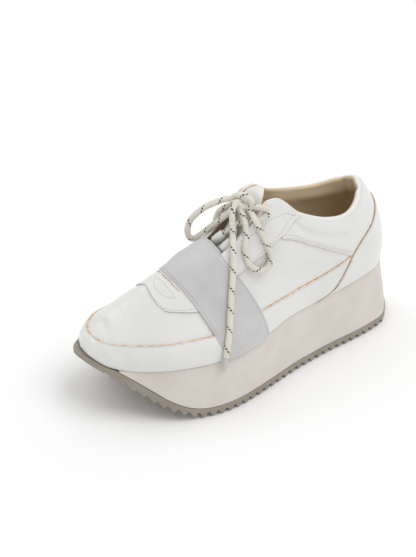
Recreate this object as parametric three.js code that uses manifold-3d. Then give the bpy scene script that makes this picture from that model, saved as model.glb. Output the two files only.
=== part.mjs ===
// Platform sneaker, left shoe, standing empty on its sole.
// Millimetres, +Z up, toe towards -Y, heel towards +Y, lateral (outer) side towards +X.
// The upper is one hollow wall whose ribs rise from the feather line, where it meets the
// platform, to the top line: the ridge over the toes, the throat edges, then the collar.

import * as THREE from 'three';
import { mergeVertices } from 'three/addons/utils/BufferGeometryUtils.js';
import Module from 'manifold-3d';

const wasm = await Module();
wasm.setup();

// ---------------------------------------------------------------- driving dimensions

const GAP = 0.3;                  // clearance between pieces that meet
const CENTRE = { x: 2.5, y: -0.5 };    // middle of the sole in the axes of the last

const LEATHER_WALL = 2.2;         // upper leather with its lining
const COLLAR_WALL = 4.6;          // the same at the padded collar
const OVERLAY = 1.2;              // leather overlays: toe rand and heel counter
const BAND = 1.4;                 // elastic band over the instep
const INSOLE = 3.5;
const TONGUE = 2.4;

const OUTSOLE = 7.0;              // web and lugs together
const LUG_DEPTH = 3.5;
const LUG_PITCH = 7.32;           // along the sole's own curve
const LUG_LAND = 1.5;             // flat tip of a lug
const LUG_VALLEY = 1.7;           // flat bottom of the groove between two lugs

const TOE_REST = 0.9;             // drop from the upper's edge to the outsole under the toe

const LACE = 4.6;                 // rope lace
const AGLET = 4.2;                // its tips

// One row per section of the last, from the toe tip (row 0) to the heel (row 15).
// Feather line: y, z and its lateral and medial x. Sole edge: soleY, soleLat, soleMed.
// Top line: topY, topZ, middle topX, half-gap, and how much higher the medial side is.
// Rib: outward lean and rise of its foot, heading and drop of its top, and reach there.
const SECTIONS = [
  { y: -133.0, z: 46.6, lat: -13.0, med: -13.0, soleY: -138.5, soleLat: -19.0, soleMed: -19.0,
    topY: -117.5, topZ: 66.5, topX: -13.0, half: 0, rise: 0,
    lean: -8, foot: 12, heading: -90, drop: 30, reach: 5 },
  { y: -127.5, z: 45.0, lat: 8.5, med: -30.5, soleY: -130.0, soleLat: 10.0, soleMed: -32.0,
    topY: -116.0, topZ: 68.0, topX: -13.0, half: 0, rise: 0,
    lean: -3, foot: 13, heading: -42, drop: 21, reach: 8 },
  { y: -113.0, z: 42.2, lat: 20.5, med: -39.5, soleY: -114.0, soleLat: 23.6, soleMed: -43.0,
    topY: -113.5, topZ: 72.0, topX: -12.6, half: 0, rise: 0,
    lean: 6, foot: 17, heading: -18, drop: 12, reach: 12 },
  { y: -97.5, z: 41.6, lat: 30.0, med: -42.5, soleY: -98.0, soleLat: 37.0, soleMed: -47.5,
    topY: -106.0, topZ: 76.5, topX: -11.4, half: 0, rise: 0,
    lean: 4, foot: 18, heading: -8, drop: 6, reach: 14 },
  { y: -81.0, z: 43.0, lat: 39.5, med: -43.0, soleY: -81.0, soleLat: 47.4, soleMed: -49.0,
    topY: -96.0, topZ: 82.5, topX: -9.8, half: 0, rise: 0,
    lean: 2, foot: 18, heading: -3, drop: 3, reach: 15 },
  { y: -60.0, z: 44.0, lat: 46.0, med: -41.5, soleY: -60.0, soleLat: 53.0, soleMed: -48.0,
    topY: -84.0, topZ: 90.0, topX: -7.6, half: 0, rise: 0,
    lean: 0, foot: 18, heading: 0, drop: 2, reach: 15 },
  { y: -42.0, z: 44.0, lat: 47.5, med: -38.5, soleY: -42.0, soleLat: 53.8, soleMed: -45.5,
    topY: -69.0, topZ: 98.3, topX: -4.6, half: 0, rise: 0,
    lean: -2, foot: 18, heading: 0, drop: 3, reach: 15 },
  { y: -23.0, z: 44.0, lat: 44.5, med: -34.0, soleY: -23.0, soleLat: 51.0, soleMed: -41.5,
    topY: -51.0, topZ: 103.5, topX: -2.2, half: 9.0, rise: 0,
    lean: -3, foot: 18, heading: 0, drop: 22, reach: 14 },
  { y: -2.0, z: 45.5, lat: 38.5, med: -29.0, soleY: -2.0, soleLat: 46.3, soleMed: -37.0,
    topY: -32.0, topZ: 108.5, topX: -0.8, half: 12.5, rise: 0,
    lean: -4, foot: 19, heading: 0, drop: 36, reach: 16 },
  { y: 18.0, z: 48.0, lat: 33.5, med: -26.5, soleY: 18.5, soleLat: 41.5, soleMed: -34.0,
    topY: -10.5, topZ: 125.0, topX: 0.0, half: 14.0, rise: -1,
    lean: -3, foot: 20, heading: 3, drop: 50, reach: 18 },
  { y: 38.0, z: 49.0, lat: 31.0, med: -26.0, soleY: 39.5, soleLat: 38.0, soleMed: -33.5,
    topY: 12.5, topZ: 144.0, topX: 0.0, half: 16.5, rise: -4,
    lean: -1, foot: 22, heading: 6, drop: 64, reach: 22 },
  { y: 57.0, z: 50.0, lat: 29.0, med: -26.5, soleY: 60.0, soleLat: 35.5, soleMed: -34.0,
    topY: 33.0, topZ: 127.5, topX: 0.0, half: 23.5, rise: 0,
    lean: 1, foot: 22, heading: 4, drop: 74, reach: 20 },
  { y: 75.0, z: 51.4, lat: 27.3, med: -26.5, soleY: 79.5, soleLat: 34.0, soleMed: -34.5,
    topY: 55.0, topZ: 117.5, topX: 0.2, half: 27.0, rise: 2,
    lean: 2, foot: 22, heading: 2, drop: 78, reach: 18 },
  { y: 94.0, z: 53.0, lat: 25.0, med: -24.5, soleY: 101.0, soleLat: 31.5, soleMed: -32.5,
    topY: 77.0, topZ: 114.5, topX: 0.6, half: 25.0, rise: 2.5,
    lean: 3, foot: 22, heading: 16, drop: 74, reach: 18 },
  { y: 113.0, z: 54.2, lat: 19.0, med: -17.0, soleY: 122.0, soleLat: 24.5, soleMed: -24.0,
    topY: 94.5, topZ: 120.5, topX: 0.4, half: 15.5, rise: 2,
    lean: 4, foot: 26, heading: 42, drop: 64, reach: 26 },
  { y: 128.5, z: 54.8, lat: 1.0, med: 1.0, soleY: 137.5, soleLat: 1.0, soleMed: 1.0,
    topY: 103.0, topZ: 128.5, topX: 0.0, half: 0, rise: 0,
    lean: 3, foot: 28, heading: 90, drop: 52, reach: 28 },
];
const HEEL = SECTIONS.length - 1;
const THROAT = 6;                 // row where the ridge opens into the throat
const COLLAR = 10;                // row at the top of the facings, where the collar starts

// Lug tips: flat from the ball to the heel, then an arc and a straight rise to the toe.
const ROCKER_START = -60;
const ROCKER_RADIUS = 64;
const ROCKER_PITCH = 39.5;        // degrees
const NOSE_START = -131.3;        // from here the toe bumper levels out
const NOSE_PITCH = 22;
const FIRST_LUG = NOSE_START;

const ROW_STEP = 0.25;            // sections are taken every quarter row
const RIB_STEPS = 9;              // facets up each rib

// ---------------------------------------------------------------- small helpers

const V = (x, y, z) => new THREE.Vector3(x, y, z);
const degrees = THREE.MathUtils.degToRad;
const lerp = THREE.MathUtils.lerp;
const smooth = THREE.MathUtils.smoothstep;

function steps(from, to, step) {
  const count = Math.round((to - from) / step);
  return Array.from({ length: count + 1 }, (_, i) => from + (to - from) * i / count);
}

function catmullRom(a, b, c, d, f) {
  return b + 0.5 * f * (c - a + f * (2 * a - 5 * b + 4 * c - d + f * (3 * (b - c) + d - a)));
}

// The value of a column at row t. Past the toe and the heel the loop goes on along the
// other side of the shoe, whose column is given by the second function.
function column(near, far, t) {
  const pick = (k) => {
    if (k < 0) return far(SECTIONS[-k]);
    if (k > HEEL) return far(SECTIONS[2 * HEEL - k]);
    return near(SECTIONS[k]);
  };
  const k = Math.min(Math.floor(t), HEEL - 1);
  return catmullRom(pick(k - 1), pick(k), pick(k + 1), pick(k + 2), t - k);
}

const even = (name, t) => column((row) => row[name], (row) => row[name], t);

// Columns of the two sides: side +1 is lateral, -1 is medial.
function sided(latName, medName, t, side) {
  const near = side > 0 ? latName : medName;
  const far = side > 0 ? medName : latName;
  return column((row) => row[near], (row) => row[far], t);
}

// Collects the faces of one body. Points that coincide are one vertex, and two faces on
// the same vertices cancel, so that walls which meet along a seam join into one.
class Body {
  constructor() {
    this.ids = new Map();
    this.points = [];
    this.faces = new Map();
  }

  vertex(p) {
    const key = [p.x, p.y, p.z].map((c) => Math.round(c * 1e4)).join();
    if (!this.ids.has(key)) {
      this.ids.set(key, this.points.length);
      this.points.push(p);
    }
    return this.ids.get(key);
  }

  face(...corners) {
    const ring = corners.map((p) => this.vertex(p));
    const loop = ring.filter((id, i) => id !== ring[(i + 1) % ring.length]);
    if (new Set(loop).size < 3) return;
    const key = [...loop].sort((a, b) => a - b).join();
    if (this.faces.has(key)) this.faces.delete(key);
    else this.faces.set(key, loop);
  }

  // Faces between neighbouring points of a grid of rows.
  sheet(grid, flip = false) {
    for (let i = 0; i + 1 < grid.length; i += 1) {
      for (let j = 0; j + 1 < grid[i].length; j += 1) {
        const quad = [grid[i][j], grid[i + 1][j], grid[i + 1][j + 1], grid[i][j + 1]];
        this.face(...(flip ? quad.reverse() : quad));
      }
    }
  }

  geometry() {
    const index = [...this.faces.values()].flatMap((loop) => (
      loop.slice(2).flatMap((id, i) => [loop[0], loop[i + 1], id])));
    const corner = (k) => this.points[index[k]];
    let volume = 0;
    for (let k = 0; k < index.length; k += 3) {
      volume += corner(k).dot(V().crossVectors(corner(k + 1), corner(k + 2)));
    }
    if (volume < 0) index.reverse();
    const geometry = new THREE.BufferGeometry().setFromPoints(this.points);
    geometry.setIndex(index);
    geometry.computeVertexNormals();
    return geometry;
  }
}

// A wall between an outer and an inner grid of the same size, closed along its borders.
function wall(outer, inner, closed = false) {
  const body = new Body();
  const last = outer.length - 1;
  const end = outer[0].length - 1;
  const strip = (a, b) => body.sheet([a, b]);
  body.sheet(outer);
  body.sheet(inner, true);
  strip(outer.map((row) => row[0]), inner.map((row) => row[0]));
  strip(inner.map((row) => row[end]), outer.map((row) => row[end]));
  if (!closed) {
    strip(inner[0], outer[0]);
    strip(outer[last], inner[last]);
  }
  return body.geometry();
}

// ---------------------------------------------------------------- the last

function featherPoint(t, side) {
  return V(sided('lat', 'med', t, side), even('y', t), even('z', t));
}

function solePoint(t, side, z) {
  return V(sided('soleLat', 'soleMed', t, side), even('soleY', t), z);
}

// Level direction square to a loop of points, pointing out of the shoe.
function outward(loop, t, side) {
  const d = 0.02;
  const ahead = loop(Math.min(t + d, HEEL), side);
  const behind = loop(Math.max(t - d, 0), side);
  if (t === 0 || t === HEEL) return V(0, t === 0 ? -1 : 1, 0);
  const along = ahead.sub(behind);
  return V(side * along.y, -side * along.x, 0).normalize();
}

const EAR = { row: 9.6, spread: 0.24, height: 3.2 };   // rounds the front of each ear

function topPoint(t, side) {
  const half = t <= THROAT ? 0 : column((row) => row.half, (row) => -row.half, t);
  const rise = side < 0 && t > THROAT + 2 ? even('rise', t) : 0;
  const ear = EAR.height * Math.exp(-(((t - EAR.row) / EAR.spread) ** 2));
  return V(even('topX', t) + side * half, even('topY', t), even('topZ', t) + rise + ear);
}

SECTIONS.forEach((row) => { row.headingY = Math.sin(degrees(row.heading)); });

// A rib of the upper as a cubic curve: v = 0 on the feather line, v = 1 on the top line.
function ribPoint(t, side, v) {
  const foot = featherPoint(t, side);
  const top = topPoint(t, side);
  const lean = degrees(even('lean', t));
  const drop = degrees(even('drop', t));
  const across = column((row) => Math.cos(degrees(row.heading)),
    (row) => -Math.cos(degrees(row.heading)), t);
  const along = even('headingY', t);
  const heading = V(side * across, along, 0).normalize();
  const low = outward(featherPoint, t, side).multiplyScalar(Math.sin(lean))
    .setZ(Math.cos(lean)).multiplyScalar(even('foot', t)).add(foot);
  const high = heading.multiplyScalar(Math.cos(drop)).setZ(-Math.sin(drop))
    .multiplyScalar(even('reach', t)).add(top);
  return new THREE.CubicBezierCurve3(foot, low, high, top).getPoint(v);
}
// Direction square to the upper's outer face.
function ribNormal(t, side, v) {
  const d = 0.015;
  const w = THREE.MathUtils.clamp(v, d, 1 - 2 * d);
  const up = ribPoint(t, side, w + d).sub(ribPoint(t, side, w - d));
  if (t < d || t > HEEL - d) {
    const slope = V().crossVectors(V(1, 0, 0), up);
    return slope.multiplyScalar(t < d ? 1 : -1).normalize();
  }
  const along = ribPoint(Math.min(t + d, HEEL), side, w).sub(ribPoint(t - d, side, w));
  return V().crossVectors(along, up).multiplyScalar(side).normalize();
}

// A point of the upper moved out by some distance. Where the two sides meet on the ridge
// their directions are averaged, so that both give the same point.
function skinPoint(t, side, v, out) {
  const normal = ribNormal(t, side, v);
  if (v === 1 && t <= THROAT) normal.add(ribNormal(t, -side, v)).normalize();
  const p = ribPoint(t, side, v).addScaledVector(normal, out);
  if (v === 0) p.z = even('z', t);
  return p;
}

// ---------------------------------------------------------------- sole

function rockerHeight(y) {
  const pitch = degrees(ROCKER_PITCH);
  const ahead = Math.max(0, ROCKER_START - y);
  const onArc = Math.min(ahead, ROCKER_RADIUS * Math.sin(pitch));
  const arc = ROCKER_RADIUS - Math.sqrt(ROCKER_RADIUS ** 2 - onArc ** 2);
  const nose = Math.max(0, NOSE_START - y);
  const straight = ahead - onArc - nose;
  return arc + straight * Math.tan(pitch) + nose * Math.tan(degrees(NOSE_PITCH));
}

// The row whose named column reaches y.
function rowAt(name, y) {
  let low = 0;
  let high = HEEL;
  for (let i = 0; i < 30; i += 1) {
    const middle = (low + high) / 2;
    if (even(name, middle) < y) low = middle;
    else high = middle;
  }
  return low;
}

function outsoleTop(y) {
  const slope = (rockerHeight(y + 1) - rockerHeight(y - 1)) / 2;
  const parallel = rockerHeight(y) + OUTSOLE * Math.hypot(1, slope);
  const underUpper = even('z', rowAt('y', y)) - TOE_REST;
  return Math.min(parallel, underUpper);
}

// Corners of the lug profile: y, and how deep the tread is cut there.
function treadProfile() {
  const profile = [{ y: SECTIONS[0].soleY, cut: 0 }];
  const ramp = (LUG_PITCH - LUG_LAND - LUG_VALLEY) / 2;
  const parts = [[LUG_LAND, 0], [ramp, LUG_DEPTH], [LUG_VALLEY, LUG_DEPTH], [ramp, 0]];
  let y = FIRST_LUG - LUG_LAND / 2;
  while (y < SECTIONS[HEEL].soleY - LUG_LAND) {
    profile.push({ y, cut: 0 });
    for (const [length, cut] of parts) {
      const slope = rockerHeight(y + length / 2 + 0.5) - rockerHeight(y + length / 2 - 0.5);
      y += length / Math.hypot(1, slope);
      if (y < SECTIONS[HEEL].soleY) profile.push({ y, cut });
    }
    profile.pop();
  }
  profile.push({ y: SECTIONS[HEEL].soleY, cut: 0 });
  return profile;
}

// A solid of strips across the shoe: each station gives its four corners.
function crossStrips(stations) {
  const body = new Body();
  body.sheet(stations.map((s) => [s.topMed, s.topLat]));
  body.sheet(stations.map((s) => [s.lowLat, s.lowMed]));
  body.sheet(stations.map((s) => [s.topLat, s.lowLat]));
  body.sheet(stations.map((s) => [s.lowMed, s.topMed]));
  for (const s of [stations[0], stations.at(-1)]) {
    const ring = [s.topMed, s.topLat, s.lowLat, s.lowMed];
    body.face(...(s === stations[0] ? ring : ring.reverse()));
  }
  return body.geometry();
}

function outsoleGeometry() {
  return crossStrips(treadProfile().map(({ y, cut }) => {
    const t = rowAt('soleY', y);
    const low = rockerHeight(y) + cut;
    const top = outsoleTop(y);
    return {
      topLat: solePoint(t, 1, top), topMed: solePoint(t, -1, top),
      lowLat: solePoint(t, 1, low), lowMed: solePoint(t, -1, low),
    };
  }));
}

const PLATFORM_FRONT = 1.5;       // row where the platform runs out towards the toe
const PLATFORM_INSET = 0.6;       // outsole edge beyond the platform's foot

function platformGeometry() {
  return crossStrips(steps(PLATFORM_FRONT, HEEL, ROW_STEP).map((t) => {
    const low = outsoleTop(even('soleY', t)) + GAP;
    const corner = (side) => ({
      top: featherPoint(t, side).addScaledVector(outward(featherPoint, t, side), GAP)
        .setZ(even('z', t) - GAP),
      low: solePoint(t, side, low)
        .addScaledVector(outward((u, s) => solePoint(u, s, 0), t, side), -PLATFORM_INSET),
    });
    const lat = corner(1);
    const med = corner(-1);
    return { topLat: lat.top, topMed: med.top, lowLat: lat.low, lowMed: med.low };
  }));
}

const INSOLE_FRONT = 0.75;
const INSOLE_MARGIN = 1.4;

function insoleGeometry() {
  return crossStrips(steps(INSOLE_FRONT, HEEL, ROW_STEP).map((t) => {
    const inset = LEATHER_WALL + INSOLE_MARGIN;
    const edge = (side, up) => featherPoint(t, side)
      .addScaledVector(outward(featherPoint, t, side), -inset).add(V(0, 0, up));
    return {
      topLat: edge(1, INSOLE), topMed: edge(-1, INSOLE),
      lowLat: edge(1, 0), lowMed: edge(-1, 0),
    };
  }));
}

// ---------------------------------------------------------------- upper

const RIB = steps(0, 1, 1 / RIB_STEPS);

// Thickness of the wall: leather, and more towards the top of the padded collar.
function wallAt(t, v) {
  const padding = smooth(t, COLLAR, COLLAR + 1.5) * smooth(v, 0.45, 0.85);
  return lerp(LEATHER_WALL, COLLAR_WALL, padding);
}

function upperGeometry() {
  const rows = steps(0, HEEL, ROW_STEP);
  const loop = [
    ...rows.map((t) => [t, 1]),
    ...rows.slice(0, -1).reverse().map((t) => [t, -1]),
  ];
  const grid = (out) => loop.map(([t, side]) => (
    RIB.map((v) => skinPoint(t, side, v, out(t, v)))));
  return wall(grid(() => 0), grid((t, v) => -wallAt(t, v)), true);
}

const SEAT = 0.6;                 // clearance under pieces that lie on the upper

// How high up the ribs an overlay reaches at some rows.
const RAND_TABLE = [
  { row: 0, height: 0.48 }, { row: 1.5, height: 0.48 }, { row: 2.25, height: 0.41 },
  { row: 3.75, height: 0.36 }, { row: 4.5, height: 0.32 }, { row: 5.25, height: 0.30 },
];
const COUNTER_TABLE = [
  { row: 11.5, height: 0.07 }, { row: 12, height: 0.21 }, { row: 12.5, height: 0.38 },
  { row: 13, height: 0.53 }, { row: 13.5, height: 0.64 }, { row: 14, height: 0.68 },
  { row: 14.5, height: 0.68 }, { row: 14.75, height: 0.73 }, { row: 15, height: 0.74 },
];

function heightAt(table, t) {
  const next = Math.max(1, table.findIndex(({ row }) => row >= t));
  const [a, b] = [table[next - 1], table[next]];
  return lerp(a.height, b.height, (t - a.row) / (b.row - a.row));
}

// A leather piece that lies on the upper and goes round its toe or heel, as far up the
// ribs as its table says.
function overlayGeometry(table, turn, facets) {
  const rows = steps(table[0].row, table.at(-1).row, ROW_STEP);
  const toTurn = turn === HEEL ? rows : rows.reverse();
  const ribs = [
    ...toTurn.map((t) => [t, 1]),
    ...toTurn.slice(0, -1).reverse().map((t) => [t, -1]),
  ];
  const grid = (out) => ribs.map(([t, side]) => {
    const height = heightAt(table, t);
    return steps(0, height, height / facets).map((v) => skinPoint(t, side, v, out));
  });
  return wall(grid(SEAT + OVERLAY), grid(SEAT));
}

const BAND_FROM = 5.5;            // rows between which the elastic band crosses
const BAND_TO = 7.75;
const BAND_FRONT_SHIFT = 0.45;    // how many rows farther back its edges are at the top
const BAND_REAR_SHIFT = 0.3;
const BAND_FACETS = 9;
const CROWN_FACETS = 4;           // facets of an arch over the throat

// A line round the instep, some distance off the upper: up the lateral side, over the
// throat in an arch that carries on both slopes, and down the medial side. Its row may
// change with the height up the ribs.
function girth(row, out, crown = 1) {
  const at = typeof row === 'function' ? row : () => row;
  const lateral = RIB.map((v) => skinPoint(at(v), 1, v, out));
  const medial = RIB.map((v) => skinPoint(at(v), -1, v, out)).reverse();
  const a = lateral.at(-1);
  const d = medial[0];
  const reach = crown * a.distanceTo(d) / 3;
  const onward = (p, q) => p.clone().sub(q).normalize().multiplyScalar(reach).add(p);
  const arch = new THREE.CubicBezierCurve3(a, onward(a, lateral.at(-2)), onward(d, medial[1]), d);
  const over = steps(0, 1, 1 / CROWN_FACETS).slice(1, -1).map((f) => arch.getPoint(f));
  return [...lateral, ...over, ...medial];
}

function bandGeometry() {
  const across = steps(0, 1, 1 / BAND_FACETS);
  const face = (out) => across.map((f) => {
    const row = (v) => lerp(BAND_FROM + BAND_FRONT_SHIFT * smooth(v, 0.1, 0.8),
      BAND_TO + BAND_REAR_SHIFT * smooth(v, 0, 0.7), f);
    return girth(row, out);
  });
  return wall(face(SEAT + BAND), face(SEAT));
}

// ---------------------------------------------------------------- tongue

// How far the tongue reaches to each side of its middle, how deep its face lies under the
// outside of the upper, and how full its arch is, from its hidden foot to its rounded tip.
const TONGUE_ROWS = [
  { row: 6.25, half: 17, depth: 6.0, crown: 0.3 },
  { row: 7.0, half: 22, depth: 8.0, crown: 0.3 },
  { row: 8.0, half: 25, depth: 8.8, crown: 0.3 },
  { row: 8.6, half: 26, depth: 7.6, crown: 0.4 },
  { row: 9.0, half: 26, depth: 5.2, crown: 0.7 },
  { row: 9.5, half: 25, depth: 2.9, crown: 0.9 },
  { row: 9.8, half: 18, depth: 2.9, crown: 1.0 },
  { row: 10.0, half: 8, depth: 2.9, crown: 1.0 },
];
const TONGUE_ACROSS = 10;

// Points along a line at given distances from its middle.
function fromMiddle(line, distances) {
  const path = new THREE.CurvePath();
  line.slice(1).forEach((p, i) => path.add(new THREE.LineCurve3(line[i], p)));
  const length = path.getLength();
  return distances.map((s) => path.getPointAt(THREE.MathUtils.clamp(0.5 + s / length, 0, 1)));
}

function tongueGeometry() {
  const across = steps(-1, 1, 2 / TONGUE_ACROSS);
  const rows = TONGUE_ROWS.slice(1).flatMap((next, i) => {
    const from = TONGUE_ROWS[i];
    const between = (f) => (name) => lerp(from[name], next[name], f);
    return [0, 0.5].map(between).map((at) => ({
      row: at('row'), half: at('half'), depth: at('depth'), crown: at('crown'),
    }));
  });
  rows.push(TONGUE_ROWS.at(-1));
  const face = (down) => rows.map(({ row, half, depth, crown }) => (
    fromMiddle(girth(row, -depth - down, crown), across.map((a) => a * half))));
  return wall(face(0), face(TONGUE));
}

// ---------------------------------------------------------------- laces

const CORD_SIDES = 8;
const CORD_STEP = 2.3;            // diameters between two steps of a lace
const SLEEVE = { radius: 3.3, wall: 0.7, sides: 10 };
const KNOT = { at: V(-1, -6.5, 141.5), radius: 5.2 };

// Each crossing rises from under the band, runs straight through its sleeve between the
// second and the third point, and ends at the far side of the throat.
const CROSSINGS = {
  lateral: [[5.4, -38, 102.2], [6.2, -27.0, 108.8], [7.8, -19.6, 114.8], [4, -14, 121.6], [-8.5, -9, 128.2]],
  medial: [[-7, -38, 102.6], [-5.6, -25.8, 109.9], [-2.4, -19.4, 116.2], [3, -13, 123.6], [9.1, -8.2, 128.8]],
};

// The free laces, from the knot outwards: two loops, which come back to it, and two ends.
const ROUTES = {
  loop_lateral: [
    [4.6, -4.6, 138.6], [11, -4.6, 136.4], [18.4, -5.4, 132.4], [22.6, -2.8, 123.4],
    [25.3, -0.2, 114.1], [27.3, 2.6, 105.6], [28.2, 0.6, 98.4], [28.5, -6.1, 95.6],
    [26.7, -12.6, 99.1], [23.8, -16.2, 105.1], [20.8, -16.5, 114.1], [18.6, -13.6, 121.3],
    [13.6, -11.2, 128.6], [9, -10.5, 133.6], [4.2, -9.8, 137.6],
  ],
  loop_medial: [
    [-6.2, -8.6, 141.0], [-12, -15, 138.5], [-16, -23, 135.0], [-20, -30, 129.5],
    [-24, -35, 121], [-24.5, -37, 112], [-23.5, -33.5, 105], [-19.5, -29, 109],
    [-13, -22.6, 118.6], [-8, -17.5, 125.6], [-4.6, -12.6, 131.5], [-3.2, -9.6, 136.2],
  ],
  end_lateral: [
    [1.8, -11.2, 141.6], [4.6, -16.6, 139.6], [7.6, -19, 131.6], [11.4, -20.9, 122.6],
    [18.5, -25.1, 114.8], [22.6, -27.7, 105.4], [26.6, -30.8, 96], [32.3, -35.5, 85.1],
    [38.2, -40.3, 74.2], [43.6, -44.3, 64.8], [48.7, -49.3, 56.9], [51.6, -52.6, 49.2],
  ],
  end_medial: [
    [-6.6, -4.0, 136.6], [-11, -8.6, 132.6], [-16.5, -13.5, 126.5], [-20.6, -13.6, 118.5],
    [-24.6, -11.6, 109], [-28, -9, 99], [-30.6, -6.6, 89], [-32.6, -4.6, 79], [-34.4, -3, 69],
    [-36.4, -1.6, 59.5], [-38.4, -0.6, 50.5],
  ],
};
const AGLETS = {
  lateral: [[51.8, -52.9, 48.7], [52.5, -54.2, 43.5], [52.8, -55.1, 38.1]],
  medial: [[-38.5, -0.5, 50.0], [-39.4, 0, 44.8], [-40, 0.3, 39.5]],
};

const toCurve = (points) => new THREE.CatmullRomCurve3(points.map((p) => V(...p)));

function ring(radius, sides) {
  const shape = new THREE.Shape();
  steps(0, 1, 1 / sides).slice(0, -1).forEach((f, i) => {
    const turn = 2 * Math.PI * f;
    const draw = i === 0 ? 'moveTo' : 'lineTo';
    shape[draw](radius * Math.cos(turn), radius * Math.sin(turn));
  });
  return shape;
}

function cordGeometry(points, diameter) {
  const path = toCurve(points);
  const stepCount = Math.max(2, Math.round(path.getLength() / (CORD_STEP * diameter)));
  return new THREE.ExtrudeGeometry(ring(diameter / 2, CORD_SIDES),
    { extrudePath: path, steps: stepCount, bevelEnabled: false });
}

// A short tube round the straight stretch of a crossing.
function sleeveGeometry(points) {
  const shape = ring(SLEEVE.radius, SLEEVE.sides);
  shape.holes.push(ring(SLEEVE.radius - SLEEVE.wall, SLEEVE.sides));
  const path = new THREE.LineCurve3(V(...points[1]), V(...points[2]));
  return new THREE.ExtrudeGeometry(shape, { extrudePath: path, steps: 1, bevelEnabled: false });
}

function toSolid(geometry) {
  const bare = geometry.clone();
  bare.deleteAttribute('normal');
  bare.deleteAttribute('uv');
  const merged = mergeVertices(bare, 1e-4);
  return new wasm.Manifold(new wasm.Mesh({
    numProp: 3,
    vertProperties: merged.attributes.position.array,
    triVerts: new Uint32Array(merged.index.array),
  }));
}

function fromSolid(solid) {
  const mesh = solid.getMesh();
  const geometry = new THREE.BufferGeometry();
  geometry.setAttribute('position', new THREE.BufferAttribute(mesh.vertProperties, mesh.numProp));
  geometry.setIndex([...mesh.triVerts]);
  geometry.computeVertexNormals();
  return geometry;
}

// The two crossings are one solid, joined where they cross.
function crossingsGeometry() {
  const strands = Object.values(CROSSINGS).map((points) => {
    const [under, from, to, ...rest] = points.map((p) => V(...p));
    const straight = steps(0, 1, 1 / 3).map((f) => from.clone().lerp(to, f));
    const run = to.clone().sub(from).setLength(1.5);
    const path = new THREE.CatmullRomCurve3([
      under, from.clone().sub(run), ...straight, to.clone().add(run), ...rest]);
    return toSolid(new THREE.ExtrudeGeometry(ring(LACE / 2, CORD_SIDES),
      { extrudePath: path, steps: 16, bevelEnabled: false }));
  });
  return fromSolid(wasm.Manifold.union(strands));
}

function knotGeometry() {
  const knot = new THREE.SphereGeometry(KNOT.radius, 10, 8);
  return knot.translate(KNOT.at.x, KNOT.at.y, KNOT.at.z);
}

// ---------------------------------------------------------------- assembly

const shoe = new THREE.Group();
shoe.position.set(-CENTRE.x, -CENTRE.y, 0);

function addPiece(name, geometry, colour, roughness) {
  const material = new THREE.MeshStandardMaterial({ color: colour, roughness, metalness: 0 });
  const mesh = new THREE.Mesh(geometry, material);
  mesh.name = name;
  shoe.add(mesh);
  return mesh;
}

const WHITE = 0xeeeeeb;
const CREAM = 0xe8e1d2;

addPiece('outsole', outsoleGeometry(), 0x968e82, 0.8);
addPiece('platform', platformGeometry(), 0xd0c8c1, 0.85);
addPiece('insole', insoleGeometry(), 0xc8b491, 0.8);
addPiece('upper', upperGeometry(), WHITE, 0.5);
addPiece('toe_rand', overlayGeometry(RAND_TABLE, 0, 3), WHITE, 0.5);
addPiece('heel_counter', overlayGeometry(COUNTER_TABLE, HEEL, 8), WHITE, 0.5);
addPiece('elastic_band', bandGeometry(), 0xcdcdd0, 0.9);
addPiece('tongue', tongueGeometry(), WHITE, 0.5);
addPiece('lace_sleeve_lateral', sleeveGeometry(CROSSINGS.lateral), WHITE, 0.5);
addPiece('lace_sleeve_medial', sleeveGeometry(CROSSINGS.medial), WHITE, 0.5);
addPiece('lace_crossings', crossingsGeometry(), CREAM, 0.9);
addPiece('lace_knot', knotGeometry(), CREAM, 0.9);
for (const [name, points] of Object.entries(ROUTES)) {
  addPiece(`lace_${name}`, cordGeometry(points, LACE), CREAM, 0.9);
}
for (const [name, points] of Object.entries(AGLETS)) {
  addPiece(`aglet_${name}`, cordGeometry(points, AGLET), CREAM, 0.35);
}

export default shoe;
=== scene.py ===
# %% [markdown]
# A left platform sneaker, made piece by piece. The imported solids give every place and
# size; this file gives each surface its finished shape and material. The shoe could be
# sculpted as one mesh, but no part of it could then be changed alone. Almost every piece
# lies on the upper, so the upper's own surface is worked out first as a function of two
# parameters, and each panel, seam and stitch is then a region or a line on it.

# %% Load the frame
import bpy
import bmesh
import numpy as np
from mathutils import Matrix, Vector


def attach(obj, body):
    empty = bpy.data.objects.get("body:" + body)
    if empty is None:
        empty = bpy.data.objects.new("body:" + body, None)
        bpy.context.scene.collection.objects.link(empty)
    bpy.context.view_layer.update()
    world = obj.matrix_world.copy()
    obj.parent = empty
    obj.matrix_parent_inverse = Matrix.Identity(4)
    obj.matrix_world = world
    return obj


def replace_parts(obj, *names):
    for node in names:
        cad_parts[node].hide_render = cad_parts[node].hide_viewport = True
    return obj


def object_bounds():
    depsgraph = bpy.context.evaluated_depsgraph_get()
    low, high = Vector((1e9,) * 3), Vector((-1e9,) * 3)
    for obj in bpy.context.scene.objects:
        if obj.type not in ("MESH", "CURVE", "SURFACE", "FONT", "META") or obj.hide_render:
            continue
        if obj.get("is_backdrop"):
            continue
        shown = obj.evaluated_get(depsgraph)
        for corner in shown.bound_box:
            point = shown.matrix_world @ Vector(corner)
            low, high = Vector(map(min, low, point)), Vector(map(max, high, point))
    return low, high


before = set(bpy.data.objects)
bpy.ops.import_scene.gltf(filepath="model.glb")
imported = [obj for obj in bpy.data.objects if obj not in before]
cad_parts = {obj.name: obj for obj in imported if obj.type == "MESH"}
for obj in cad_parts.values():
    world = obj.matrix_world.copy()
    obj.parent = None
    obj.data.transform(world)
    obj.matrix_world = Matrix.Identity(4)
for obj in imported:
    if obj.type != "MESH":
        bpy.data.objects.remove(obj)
cad_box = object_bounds()
MM = 0.001
TAU = 2 * np.pi
CENTRE = np.array([2.5, -0.5, 0.0])      # middle of the sole in the axes of the last
print("solids:", sorted(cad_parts))


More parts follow.
